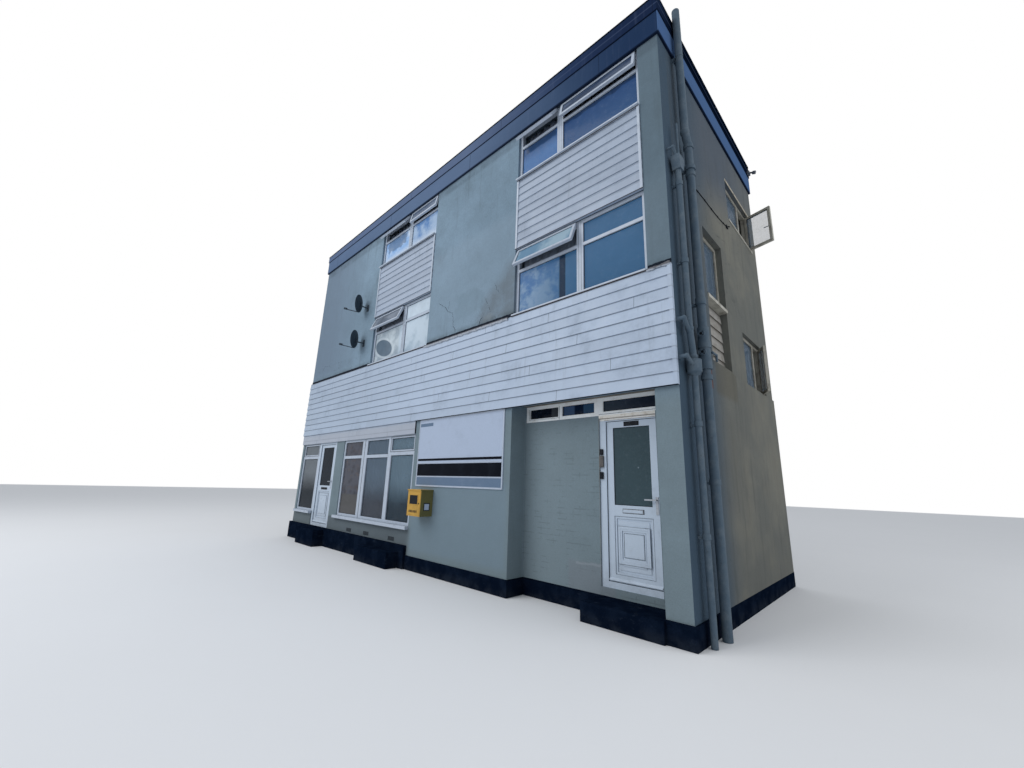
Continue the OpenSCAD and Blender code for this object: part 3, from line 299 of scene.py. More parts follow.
def front_render():
    s, col, mid, fine, blotch = render_layers("front_render", (113, 134, 150), (124, 146, 164), (80, 92, 98))
    col = wall_tones(s, col, mid, fine)
    col, joints = recess_tones(s, col, mid, fine)
    sign_wall = s.area(s.x, 5.7, 8.0, s.z, 0.4, 1.5, 0.12)
    col = s.mix(sign_wall * 0.4, col, s.tone((114, 135, 151), fine, 0.86, 1.12))
    # painted shade: the upper part of the right pier is darker, most of all above the first floor
    pier_shade = s.x.fit(10.2, 10.45) * s.z.fit(4.0, 4.4)
    pier_shade_col = s.mix(s.z.fit(5.2, 5.8), (95, 110, 119), (86, 102, 112))
    col = s.mix(pier_shade * 0.75, col, s.tone(pier_shade_col, mid, 0.84, 1.14))
    col = damp_marks(s, col, mid)
    where = s.area(s.x, 6.9, 7.6, s.z, 4.2, 4.6, 0.2) | s.area(s.x, 0.3, 2.6, s.z, 4.2, 4.5, 0.2)
    col, line = cracks(s, col, where)
    # the ends of the front walls have the colour of the side walls
    ends = s.x.fit(FRONT_W - 0.0045, FRONT_W - 0.0025) | s.x.fit(0.0045, 0.0025)
    col = s.mix(ends, col, s.tone(s.tone(side_tones(s), mid, 0.84, 1.15), fine, 0.84, 1.14))
    finish_render(s, col, line | joints * 0.6, mid, fine, blotch)


def side_render():
    s, col, mid, fine, blotch = render_layers("side_render", (92, 96, 94), (104, 104, 98), (64, 66, 64), 2.0)
    brown = s.noise(1.6, 5, 0.7, shift=(0.0, 6.0, 2.0), stretch=(1, 1, 0.6)).fit(0.48, 0.7)
    brown = brown * s.z.fit(4.0, 6.2, 1.0, 0.1) * s.y.fit(0.8, 1.8)
    col = s.mix(brown * 0.35, col, (96, 90, 74))
    mostly = s.y.fit(0.75, 1.75, 0.92, 0.74)
    col = s.mix(mostly, col, s.tone(s.tone(side_tones(s), mid, 0.8, 1.18), fine, 0.8, 1.18))
    col = s.mix(s.runs(6.0, 0.5, 0.5, 0.7, shift=(0, 2, 7)) * 0.3, col, (62, 65, 66))
    # moss and a line of rust below the tall window of the right wall
    rag = s.noise(9.0, 5, 0.7) * 0.1 - 0.05
    y, z = s.y + rag, s.z + rag
    moss = s.area(y, 1.25, 2.05, z, 2.85, 3.22, 0.1) * s.x.fit(2.0, 8.0)
    col = s.mix(moss * 0.45, col, (84, 80, 68))
    rust = s.area(y, 1.0, 1.05, z, 2.85, 3.12, 0.03) * s.x.fit(10.6, 10.65)
    col = s.mix(rust * 0.85, col, (92, 56, 46))
    col, line = cracks(s, col, s.area(s.y, 1.0, 3.0, s.z, 4.3, 6.4, 0.3) * 0.8)
    finish_render(s, col, line, mid, fine, blotch)


def plinth_paint():
    s = Shader("plinth_paint", 0.75, 0.0)
    mid = s.noise(5.0, 5, 0.65)
    fine = s.noise(80.0, 3, 0.6)
    col = s.tone(s.mix(mid.fit(0.4, 0.7), (9, 18, 33), (18, 28, 44)), fine, 0.72, 1.25)
    scuff = s.noise(9.0, 6, 0.75, stretch=(0.6, 0.6, 1.6), shift=(2, 4, 1)).fit(0.58, 0.68)
    col = s.mix(scuff * 0.18, col, (64, 74, 88))
    splash = s.z.fit(0.16, 0.0) * mid.fit(0.35, 0.6)
    col = s.mix(splash * 0.22, col, (60, 64, 68))
    s.finish(col, mid.fit(0.3, 0.7, 0.55, 0.85), (fine, 0.002, 0.5), (mid, 0.008, 0.3))


def white_boards():
    """Overlapping boards: each has its own tone, painted shade and dirt in the laps, butt joints and runs of
    grime.
    """
    length, bond = 3.6, 1.37
    s = Shader("white_boards", 0.5, 0.4)
    level = (s.z - BAND_Z) / BOARD
    row = level.floor()
    along = (row * bond + s.x) / length
    board = s.node("CombineXYZ", {0: row, 1: along.floor()}).outputs[0]
    tint = Value(s, s.node("TexWhiteNoise", {"Vector": board}, noise_dimensions="2D").outputs["Value"])
    band = s.mix(s.x.fit(6.0, 3.0), (166, 181, 201), (157, 172, 191))
    base = s.mix(s.z.fit(5.2, 5.5), band, (152, 165, 183))
    col = s.tone(s.mix(s.z.fit(2.7, 2.62), base, (160, 168, 181)), tint, 0.95, 1.05)
    grain = s.noise(1.0, 5, 0.6, stretch=(3.0, 3.0, 60.0))
    col = s.tone(col, grain, 0.96, 1.04)
    dirt = s.noise(1.9, 6, 0.7)
    col = s.mix(dirt.fit(0.5, 0.78, 0.0, 0.42), col, (122, 133, 148))
    runs = s.runs(9.0, 0.8, 0.54, 0.74, shift=(2, 0, 1)) * s.z.fit(2.9, 3.3, 0.25, 1.0)
    col = s.mix(runs * 0.34, col, (112, 122, 134))
    # painted shade and dirt: a dark line under the lap of each board
    col = s.mix(level.fract().fit(0.84, 0.99) * 0.38, col, (84, 88, 98))
    butt = abs(along.fract() - 0.5).fit(0.0012, 0.0006, soft=False) * s.z.fit(4.25, 4.2)
    col = s.mix(butt * 0.7, col, (60, 66, 74))
    s.finish(col, dirt.fit(0.3, 0.7, 0.38, 0.66), (grain, 0.0012, 0.4), (butt * -1.0, 0.003, 0.6))


def window_frames():
    """White plastic frames, grimy on the side walls, and painted lighter in the recess to lift its shade."""
    s = Shader("window_frames", 0.36, 0.3)
    dirt = s.noise(6.0, 6, 0.7)
    fine = s.noise(40.0, 3, 0.6)
    col = s.tone((172, 183, 198), fine, 0.94, 1.05)
    col = s.mix(dirt.fit(0.5, 0.8, 0.0, 0.5), col, (124, 132, 142))
    col = s.mix(s.runs(22.0, 1.6, 0.58, 0.76, detail=5) * 0.28, col, (104, 106, 108))
    # painted light: the frames in the recess are near white, to lift the shade there
    lit_in_recess = s.mix(dirt.fit(0.45, 0.75, 0.0, 0.55), (240, 244, 246), (196, 192, 184))
    inside = s.recess() * s.area(s.x, 8.1, 10.42, s.z, 2.3, 2.8, 0.02)
    col = s.mix(inside, col, s.tone(lit_in_recess, fine, 0.95, 1.04))
    grimy = s.mix(dirt.fit(0.42, 0.72, 0.0, 0.7), (172, 170, 160), (104, 100, 90))
    col = s.mix(s.x.fit(10.45, 10.5), col, s.tone(grimy, fine, 0.9, 1.08))
    s.finish(col, dirt.fit(0.3, 0.75, 0.24, 0.55), (fine, 0.0004, 0.3))


def side_boards():
    """Grey boards under the tall side window, each darker towards its lap with painted shade and dirt."""
    foot, pitch = 3.266, 0.15567
    s = Shader("side_boards", 0.6, 0.3)
    dirt = s.noise(5.0, 6, 0.72)
    grain = s.noise(1.0, 5, 0.6, stretch=(3.0, 3.0, 60.0))
    col = s.tone((150, 148, 144), grain, 0.93, 1.05)
    col = s.mix(dirt.fit(0.42, 0.72, 0.0, 0.6), col, (104, 98, 88))
    # painted shade and dirt under the lap of the board above
    lap = ((s.z - foot) / pitch).fract().fit(0.6, 1.0)
    col = s.mix(lap * 0.6, col, (62, 54, 46))
    s.finish(col, dirt.fit(0.3, 0.7, 0.5, 0.8), (grain, 0.0012, 0.4))


def door_white():
    """White door plastic, with the marks that the door and its foot have got in use, and painted light on the
    frame head in the recess.
    """
    s = Shader("door_white", 0.38, 0.35)
    dirt = s.noise(5.0, 6, 0.7, shift=(1, 1, 0))
    fine = s.noise(60.0, 3, 0.6)
    col = s.tone((178, 192, 208), fine, 0.95, 1.04)
    col = s.mix(dirt.fit(0.54, 0.82, 0.0, 0.3), col, (120, 128, 136))
    # painted light: the head of the frame in the recess is made paler to lift its shade
    head = s.recess() * s.z.window(2.4105, 2.45, 0.001)
    col = s.mix(head, col, s.mix(dirt.fit(0.45, 0.75), (226, 228, 228), (186, 180, 170)))
    kick = s.z.fit(1.0, 0.35) * dirt.fit(0.38, 0.62)
    col = s.mix(kick * 0.16, col, (104, 108, 112))
    s.finish(col, dirt.fit(0.3, 0.75, 0.24, 0.6), (fine, 0.0004, 0.3))


def right_bay_image(s):
    """What the right bay mirrors: deep blue sky, a roof edge above, a pale patch by a dark gap below."""
    col = s.mix(s.z.fit(4.2, 5.4), (58, 98, 134), (64, 102, 138))
    col = s.mix(s.z.fit(6.7, 7.0), col, s.mix(s.z.fit(6.9, 7.8), (58, 86, 126), (40, 68, 114)))
    brighter = s.area(s.x, 8.1, 8.95, s.z, 6.6, 7.42, 0.06) * s.z.fit(7.36, 7.08, 0.15, 1.0)
    col = s.mix(brighter, col, (73, 112, 162))
    haze = s.mix(s.noise(2.6, 5, 0.65, shift=(5, 0, 1)).fit(0.42, 0.62), (80, 118, 166), (136, 162, 188))
    patch = s.area(s.x, 8.1, 8.93, s.z, 4.2, 5.0, 0.015) * s.x.fit(8.95, 8.2, 0.35, 0.9)
    col = s.mix(patch, col, haze)
    col = s.mix(s.area(s.x, 8.96, 9.06, s.z, 4.2, 5.0, 0.012) * 0.85, col, (16, 28, 48))
    edge = s.noise(5.0, 3, 0.6) * 0.1 + s.z
    eaves = edge.window(7.42, 7.62, 0.02) * s.x.fit(9.0, 9.05)
    eaves = eaves | s.area(s.x, 8.22, 8.85, edge, 7.36, 7.5, 0.03) * 0.8
    return s.mix(eaves * 0.6, col, (30, 44, 66))


def mirrored_dish(s, col):
    """The lower dish as a tilted oval in the left light of the first floor, with a paler rim."""
    u, v = s.x - 3.81, s.z - 4.555
    across = u * 2.65 + v * 0.54
    up = u * 0.96 + v * 4.64
    reach = across * across + up * up
    col = s.mix(reach.window(0.9, 1.35, 0.15) * 0.35, col, (205, 215, 222))
    dish = s.tone((90, 107, 123), s.noise(6.0, 4, 0.6), 0.82, 1.18)
    return s.mix(reach.fit(0.8, 0.98, 0.92, 0.0), col, dish)


def left_bay_image(s, puff):
    """What the left bay shows: a painted reflection of clouds with a roof line above, pale blinds and the
    mirrored dish below.
    """
    sky = s.mix(puff, (92, 130, 180), (160, 182, 208))
    sky = s.mix(s.x.fit(4.56, 4.48), sky, s.mix(puff, (134, 172, 218), (202, 218, 236)))
    rag = s.noise(6.0, 3, 0.6) * 0.3 - 0.15
    roof = s.area(s.x + rag, 3.55, 4.3, s.z + rag, 7.15, 7.4, 0.06)
    sky = s.mix(roof * 0.6, sky, (76, 92, 116))
    sky = s.mix(s.z.fit(7.1, 6.84), sky, (196, 210, 226))
    near = s.mix(s.noise(2.4, 5, 0.65, shift=(3, 0, 3)).fit(0.4, 0.64), (150, 164, 176), (190, 202, 210))
    near = mirrored_dish(s, near)
    weave = s.noise(1.6, 5, 0.6, shift=(1, 0, 6)).fit(0.4, 0.62)
    blind = s.mix(s.x.fit(4.4, 4.52), near, s.mix(weave, (148, 168, 184), (188, 203, 216)))
    top = s.x.fit(4.5, 4.55) * s.z.fit(5.04, 5.06)
    blind = s.mix(top * 0.75, blind, s.tone((204, 218, 230), puff, 0.92, 1.06))
    return s.mix(s.z.fit(5.8, 6.2), blind, sky)


def window_glass():
    """Panes with a thin film of dirt and painted reflections: deep blue in the right bay, paler with white
    clouds in the left one.
    """
    s = Shader("window_glass", 0.05, 0.05)
    cloud = s.noise(1.1, 5, 0.6, shift=(1, 2, 3))
    film = s.noise(11.0, 5, 0.7)
    puff = s.noise(1.7, 5, 0.6, shift=(2, 0, 6)).fit(0.44, 0.62)
    in_right = s.x.fit(6.4, 6.8)
    col = s.mix(in_right, left_bay_image(s, puff), right_bay_image(s))
    side = s.x.fit(10.45, 10.55) | s.y.fit(0.5, 0.6)
    col = s.mix(side, col, (120, 142, 164))
    # the opened top lights mirror the sky more, and slates in the upper right one
    sash = s.y.fit(0.056, 0.05) * s.x.fit(10.5, 10.45)
    pane = s.mix(in_right, s.mix(puff, (82, 90, 104), (108, 118, 134)),
                 s.mix(puff, (104, 138, 164), (156, 180, 194)))
    lines = s.noise(1.0, 4, 0.6, stretch=(1.5, 1.5, 30.0)).fit(0.45, 0.6)
    pane = s.mix(s.z.fit(6.6, 6.7) * in_right, pane, s.mix(lines, (50, 62, 82), (94, 106, 126)))
    col = s.tone(s.mix(sash * 0.85, col, pane), cloud, 0.88, 1.12)
    col = s.mix(film.fit(0.5, 0.85, 0.0, 0.12), col, (118, 138, 158))
    s.cover(film * 0.14 + side.fit(0.0, 1.0, 0.88, 0.22))
    s.finish(col, film.fit(0.4, 0.8, 0.05, 0.16), (s.noise(1.3, 2, 0.5), 0.004, 0.25))


def obscured_glass():
    """Rippled glass of the entrance door, which nearly nothing shows through."""
    s = Shader("obscured_glass", 0.25, 0.08)
    film = s.noise(14.0, 5, 0.7)
    col = s.tone((62, 79, 86), s.noise(0.9, 4, 0.6, shift=(1, 2, 3)), 0.75, 1.25)
    col = s.mix(film.fit(0.55, 0.85, 0.0, 0.18), col, (120, 130, 138))
    s.cover(film.fit(0.4, 0.8, 0.97, 1.0))
    s.finish(col, film.fit(0.4, 0.8, 0.25, 0.35), (s.noise(1.3, 2, 0.5), 0.004, 0.25),
             (s.cells(95.0, "F1"), 0.0012, 0.8))


def shop_glass():
    """Shop glass: the first light and the small window mirror dark red-brown houses over a grey street."""
    s = Shader("shop_glass", 0.05, 0.08)
    cloud = s.noise(3.0, 5, 0.65, stretch=(1, 1, 1.6))
    blocks = s.cells(5.0, "F1", stretch=(1.0, 1.0, 1.5))
    film = s.noise(14.0, 5, 0.7)
    street = s.tone((86, 86, 87), cloud, 0.75, 1.25)
    houses = s.tone((66, 68, 76), blocks * 0.9 + cloud, 0.35, 1.55)
    warm = s.noise(7.0, 4, 0.7, shift=(1, 0, 5)).fit(0.54, 0.62)
    houses = s.mix(warm * 0.4, houses, (98, 84, 76))
    col = s.mix(s.z.fit(1.18, 1.24), street, houses)
    # the other lights mirror a grey-blue sky, darker near the floor
    high = (s.noise(3.0, 4, 0.6) * 0.3 + s.z).fit(1.15, 1.75)
    second = s.mix(high, (76, 82, 92), (98, 115, 132))
    third = s.mix(high, (52, 66, 78), (108, 130, 146))
    sky = s.tone(s.mix(s.x.fit(4.6, 4.66), second, third), cloud, 0.82, 1.18)
    col = s.mix(s.x.fit(3.5, 3.6), col, sky)
    in_door = s.area(s.x, 1.25, 2.0, s.z, 1.3, 2.4, 0.05)
    col = s.mix(in_door, col, s.tone((14, 26, 37), cloud, 0.6, 1.6))
    small = s.mix(s.z.fit(1.15, 1.75), (28, 36, 44), (102, 110, 117))
    col = s.mix(s.x.fit(1.1, 1.0), col, s.tone(small, cloud, 0.72, 1.28))
    # narrow lights over the recess, painted reflections: dark, dark blue with a pale patch, grey-blue with a
    # dark edge
    first = s.mix(s.x.fit(8.585, 8.6), (18, 24, 36), (60, 65, 70))
    blue = s.mix(s.x.fit(9.16, 9.175), (18, 32, 54), (50, 78, 106))
    blue = s.mix(s.x.window(8.84, 9.0, 0.03) * 0.6, blue, (76, 100, 134))
    last = s.mix(s.x.fit(9.5, 10.2), (54, 64, 76), (36, 44, 58))
    narrow = s.mix(s.x.fit(8.75, 8.79), first, s.mix(s.x.fit(9.4, 9.45), blue, last))
    inside = s.recess()
    col = s.mix(inside, col, s.tone(narrow, cloud, 0.85, 1.15))
    col = s.mix(film.fit(0.55, 0.85, 0.0, 0.15), col, (120, 130, 138))
    s.cover(film * 0.1 + (s.x.fit(3.5, 3.6, 0.86, 0.55) | inside * 0.92))
    s.finish(col, film.fit(0.4, 0.8, 0.05, 0.15), (s.noise(1.3, 2, 0.5), 0.004, 0.25))


def fascia_paint():
    """Dark blue board: the front is chalky, the side is nearly black over a paler lower board."""
    length, bond = 3.05, 0.9
    s = Shader("fascia_paint", 0.55, 0.0)
    cloud = s.noise(1.3, 5, 0.6, stretch=(0.5, 0.5, 1.5))
    fine = s.noise(60.0, 3, 0.6)
    lower = s.z.fit(8.14, 8.12, soft=False)
    side = s.x.fit(10.72, 10.725)
    left, middle, right, flank, corner = (s.mix(lower, above, below) for above, below in (
        ((88, 103, 130), (88, 106, 133)), ((42, 58, 88), (56, 74, 101)), ((29, 42, 69), (36, 54, 83)),
        ((5, 14, 29), (72, 97, 134)), ((26, 38, 62), (72, 98, 138))))
    front_col = s.mix(s.x.fit(6.6, 9.2, soft=False), left, middle)
    front_col = s.mix(s.x.fit(8.6, 10.4), front_col, right)
    side_col = s.mix(s.y.fit(0.5, 0.0), flank, corner)
    col = s.tone(s.mix(side, front_col, side_col), cloud, 0.85, 1.18)
    col = s.tone(col, fine, 0.93, 1.07)
    col = s.mix(s.runs(12.0, 0.9, 0.5, 0.75) * 0.16 * (1.0 - side), col, (96, 108, 136))
    # painted shadow along the foot of each board, a lighter line half way up the upper one, and the butt
    # joints
    foot = s.z.fit(7.778, 7.768) | s.z.window(8.135, 8.145, 0.006)
    col = s.mix(foot * 0.8, col, (14, 22, 40))
    col = s.mix(s.z.window(8.262, 8.272, 0.008) * 0.35, col, (84, 98, 126))
    along = ((s.x + lower * bond) / length).fract()
    butt = abs(along - 0.5).fit(0.002, 0.001, soft=False)
    col = s.mix(butt * 0.7, col, (24, 32, 48))
    s.finish(col, cloud.fit(0.3, 0.7, 0.32, 0.58), (fine, 0.0008, 0.3), (cloud, 0.01, 0.2))


def plain(name, base, worn, rough, metallic=0.0, scale=8.0, grain=60.0, amount=0.5, depth=0.001, spec=0.2):
    """One colour that is worn in patches, with a fine grain."""
    s = Shader(name, rough, spec, metallic)
    mid = s.noise(scale, 5, 0.65)
    fine = s.noise(grain, 3, 0.6)
    col = s.tone(s.mix(mid.fit(0.45, 0.75, 0.0, amount), base, worn), fine, 0.9, 1.1)
    s.finish(col, mid.fit(0.3, 0.7, max(rough - 0.12, 0.05), min(rough + 0.15, 1.0)), (fine, depth, 0.4))


def painted_pipe():
    s = Shader("painted_pipe", 0.55, 0.05)
    mid = s.noise(6.0, 5, 0.65)
    fine = s.noise(70.0, 3, 0.6)
    flake = s.noise(16.0, 6, 0.8, stretch=(1, 1, 0.5)).fit(0.6, 0.68)
    col = s.tone(s.mix(mid.fit(0.4, 0.7), (80, 96, 110), (96, 109, 120)), fine, 0.82, 1.14)
    col = s.mix(flake * 0.55, col, (58, 56, 54))
    s.finish(col, mid.fit(0.3, 0.7, 0.38, 0.66), (fine, 0.0012, 0.4))


def mortar():
    """Pale beads of mortar along the foot under a grimy grey top."""
    s = Shader("mortar", 0.9, 0.05)
    mid = s.noise(16.0, 5, 0.7)
    fine = s.noise(60.0, 3, 0.6)
    level = s.noise(24.0, 3, 0.6) * 0.016 + s.z
    col = s.mix(level.fit(4.18, 4.168), (108, 108, 112), (172, 180, 192))
    col = s.mix(mid.fit(0.45, 0.75, 0.0, 0.7), col, (72, 76, 84))
    s.finish(s.tone(col, fine, 0.85, 1.12), mid.fit(0.3, 0.7, 0.8, 0.96), (fine, 0.004, 0.5))


def cabinet_yellow():
    """Sun bleached ochre, with painted shade that makes the right end of the cabinet a dark olive."""
    s = Shader("cabinet_yellow", 0.5, 0.15)
    mid = s.noise(5.0, 5, 0.65)
    fine = s.noise(60.0, 3, 0.6)
    # painted shade: the right end face of the cabinet is a darker olive
    end = s.x.fit(6.258, 6.262)
    col = s.mix(end, (190, 150, 72), (100, 98, 62))
    col = s.mix(mid.fit(0.45, 0.75, 0.0, 0.6), col, s.mix(end, (140, 112, 62), (82, 84, 60)))
    s.finish(s.tone(col, fine, 0.9, 1.1), mid.fit(0.3, 0.7, 0.4, 0.65), (fine, 0.001, 0.4))


for make in (front_render, side_render, plinth_paint, white_boards, window_frames, door_white, fascia_paint,
             painted_pipe, side_boards, window_glass, shop_glass, obscured_glass, cabinet_yellow, mortar):
    make()
plain("floor_concrete", (120, 116, 110), (84, 82, 78), 0.85, scale=2.0, depth=0.002)
plain("roof_felt", (70, 72, 76), (104, 104, 104), 0.9, scale=1.5, grain=240.0, depth=0.003)
plain("capping_metal", (12, 18, 30), (28, 36, 50), 0.6, spec=0.0)
plain("door_metal", (168, 174, 182), (120, 124, 130), 0.36, 0.6, scale=20.0, grain=300.0)
plain("dish_metal", (50, 62, 73), (84, 94, 103), 0.5, scale=14.0, spec=0.15)
plain("stained_timber", (232, 229, 222), (184, 172, 156), 0.7, scale=11.0, amount=0.8)
plain("sign_face", (166, 180, 202), (140, 152, 172), 0.4, scale=2.5, amount=0.35)
plain("black_sheet", (13, 17, 26), (30, 35, 44), 0.4, scale=4.0, spec=0.04)
plain("blue_sheet", (96, 116, 140), (112, 130, 152), 0.4, scale=4.0, spec=0.1)
plain("rubber", (22, 26, 33), (54, 58, 64), 0.6, scale=20.0, spec=0.05)
plain("dark_box", (28, 31, 37), (58, 61, 66), 0.4, scale=24.0, spec=0.08)
plain("beige_box", (98, 96, 95), (62, 60, 60), 0.45, scale=24.0, spec=0.1)
plain("brown_strip", (74, 70, 72), (46, 44, 48), 0.6, scale=12.0, spec=0.04)
plain("seal_grey", (104, 114, 126), (74, 82, 92), 0.6, scale=20.0, spec=0.05)
plain("crack_line", (48, 56, 62), (76, 86, 92), 0.9, scale=30.0, spec=0.0)
plain("pale_lining", (182, 176, 162), (70, 70, 68), 0.8, scale=26.0, amount=1.0, spec=0.05)
plain("head_edge", (156, 148, 140), (96, 88, 82), 0.7, scale=18.0, amount=0.9, spec=0.05)
plain("grey_box", (92, 98, 106), (58, 64, 72), 0.5, scale=24.0, spec=0.1)
plain("deep_blind", (150, 160, 174), (110, 122, 140), 0.85, scale=2.0, grain=90.0)
plain("dark_lead_and_shadow", (22, 29, 41), (48, 56, 66), 0.6, scale=9.0, spec=0.04)
plain("curtain", (116, 132, 142), (88, 102, 114), 0.9, scale=2.0, grain=140.0)
plain("partition_board", (104, 100, 98), (76, 72, 72), 0.7, scale=3.0, grain=90.0)
plain("terracotta", (58, 64, 70), (84, 88, 90), 0.85, scale=20.0, spec=0.04)


def soften(ob, width, degrees):
    """Rounds the edges of a piece that are sharper than the angle."""
    edges = ob.modifiers.new("edges", "BEVEL")
    edges.width = width
    edges.segments = 2
    edges.limit_method = "ANGLE"
    edges.angle_limit = math.radians(degrees)


# The CAD nodes take the material of their slot, apart from doors, shop glass and the boards on the side
DOORS = ("shop_door", "entrance_door", "door_frames")
own_material = dict.fromkeys(DOORS, "door_white") | {
    "front_glass": "shop_glass", "shop_door_glass": "shop_glass", "side_cladding": "side_boards"}
slot_of = {s["node"]: s["material_slot"] for s in frame["record"]["subparts"]}
for name, ob in nodes.items():
    ob.data.materials.clear()
    ob.data.materials.append(materials[own_material.get(name, slot_of[name])])
for name in DOORS:
    soften(nodes[name], 0.003, 50)


# Mesh building

class Mesh:
    """Collects the parts of one piece, given in street coordinates. A rectangle is x1, x2, z1, z2."""

    def __init__(self):
        self.bm = bmesh.new()

    def corner(self, x, y, z):
        return self.bm.verts.new(street(x, y, z))

    def box(self, x1, x2, y1, y2, z1, z2):
        v = [self.corner(x, y, z) for x in (x1, x2) for y in (y1, y2) for z in (z1, z2)]
        for f in ((0, 1, 3, 2), (4, 6, 7, 5), (0, 4, 5, 1), (2, 3, 7, 6), (0, 2, 6, 4), (1, 5, 7, 3)):
            self.bm.faces.new([v[i] for i in f])

    def row(self, n, step, x1, x2, *rest):
        """A box n times, each moved on along the front by step."""
        for k in range(n):
            self.box(x1 + step * k, x2 + step * k, *rest)

    def ring(self, rectangle, y1, y2, t, right=None):
        """Four bars round a rectangle of the front, t wide outside it."""
        x1, x2, z1, z2 = rectangle
        r = right or t
        self.box(x1 - t, x2 + r, y1, y2, z2, z2 + t)
        self.box(x1 - t, x2 + r, y1, y2, z1 - t, z1)
        self.box(x1 - t, x1, y1, y2, z1, z2)
        self.box(x2, x2 + r, y1, y2, z1, z2)

    def tube(self, points, r, n=12):
        """Round bar along a row of points, with closed ends."""
        pts = [street(*p) for p in points]
        rings = []
        for i, p in enumerate(pts):
            a = pts[i] - pts[i - 1] if i else pts[1] - pts[0]
            b = pts[i + 1] - pts[i] if i < len(pts) - 1 else a
            d = (a.normalized() + b.normalized()).normalized()
            side = d.orthogonal().normalized() if not rings else (last - d * last.dot(d)).normalized()
            last = side
            up = d.cross(side)
            rings.append([self.bm.verts.new(p + (side * math.cos(t) + up * math.sin(t)) * r)
                          for t in (2 * math.pi * k / n for k in range(n))])
        for a, b in zip(rings, rings[1:]):
            for k in range(n):
                self.bm.faces.new([a[k], a[(k + 1) % n], b[(k + 1) % n], b[k]])
        self.bm.faces.new(rings[0][::-1])
        self.bm.faces.new(rings[-1])

    def pin(self, x, z, y1, y2, r, n):
        """Short round bar that sticks out of the front from y1 to y2."""
        self.tube([(x, y1, z), (x, y2, z)], r, n)

    def sheet(self, fn, nu, nv):
        """Grid of faces over the points that fn gives for two shares from 0 to 1."""
        grid = [[self.corner(*fn(i / nu, j / nv)) for j in range(nv + 1)] for i in range(nu + 1)]
        for i in range(nu):
            for j in range(nv):
                self.bm.faces.new([grid[i][j], grid[i + 1][j], grid[i + 1][j + 1], grid[i][j + 1]])

    def bent_strip(self, x1, x2, ys, zs, n=1):
        """Bent sheet that runs along the front, with the profile that ys and zs give."""
        last = len(ys) - 1
        self.sheet(lambda u, v: (x1 + (x2 - x1) * u, ys[round(v * last)], zs[round(v * last)]), n, last)

    def cloth(self, x1, x2, z1, z2, y, n, *waves):
        """Hanging cloth; each wave has its depth, its turns and its phase."""

        def point(u, v):
            folds = sum(depth * math.sin(u * turns + phase) for depth, turns, phase in waves)
            return x1 + (x2 - x1) * u, y + folds, z1 + (z2 - z1) * v

        self.sheet(point, n, 3)

    def done(self, name, material, body="building", bevel=0.0, smooth=False, thick=0.0):
        """Makes the piece, gives it its material and puts it on its body."""
        bmesh.ops.recalc_face_normals(self.bm, faces=self.bm.faces)
        me = bpy.data.meshes.new(name)
        self.bm.to_mesh(me)
        self.bm.free()
        if smooth:
            for p in me.polygons:
                p.use_smooth = True
        ob = bpy.data.objects.new(name, me)
        scene.collection.objects.link(ob)
        me.materials.append(materials[material])
        if thick:
            ob.modifiers.new("thick", "SOLIDIFY").thickness = thick
        if bevel:
            soften(ob, bevel, 40)
        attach(ob, body)


def grown(rectangle, by):
    x1, x2, z1, z2 = rectangle
    return x1 - by, x2 + by, z1 - by, z2 + by


# White corner strips beside the boarded panels, and thin brown drip strips under them
STRIP_W = 0.04
m = Mesh()
for x in BAYS:
    for a in (x, x + BAY_W - STRIP_W):
        m.box(a, a + STRIP_W, -0.022, 0.0, *PANEL)
m.done("panel_corner_strips", "window_frames", bevel=0.003)
m = Mesh()
for x in BAYS:
    m.box(x + 0.002, x + BAY_W - 0.002, -0.026, -0.018, PANEL[0] - 0.01, PANEL[0] - 0.001)
    m.box(x + 0.002, x + BAY_W - 0.002, -0.026, -0.0205, PANEL[1] - 0.012, PANEL[1] - 0.001)
m.done("drip_strips", "brown_strip", bevel=0.002)

# Joints in the wide mullions of the bays, and dark strips of painted shadow under the lower sills
m = Mesh()
for x, first, second in ((BAYS[0], 1.29, 1.205), (BAYS[1], 1.265, 0.89)):
    for mid, z1, z2 in ((first, 4.205, 5.392), (second, 6.764, 7.744)):
        for a in (x + mid - 0.024, x + mid + 0.02):
            m.box(a, a + 0.004, 0.0482, 0.0498, z1, z2)
m.done("mullion_joints", "seal_grey")
# painted shadow under the lower sills
m = Mesh()
for x in BAYS:
    m.box(x - 0.008, x + BAY_W + 0.008, -0.0535, -0.03, 4.1685, 4.1792)
    m.row(12, 0.19, x + 0.1, x + 0.13, -0.0545, -0.0535, 4.17, 4.174)
m.done("sill_shadow_strips", "brown_strip")


def panes(node):
    """Corner sets of the sheets of glass of a node, eight corners each."""
    bm = bmesh.new()
    bm.from_mesh(nodes[node].data)
    bmesh.ops.remove_doubles(bm, verts=bm.verts, dist=1e-5)
    # a dict keeps its order, which a set doesn't, so each run gives the same result
    left = dict.fromkeys(bm.verts)
    out = []
    while left:
        stack, part = [left.popitem()[0]], []
        while stack:
            v = stack.pop()
            part.append(v.co.copy())
            for e in v.link_edges:
                o = e.other_vert(v)
                if o in left:
                    del left[o]
                    stack.append(o)
        out.append(part)
    bm.free()
    return out


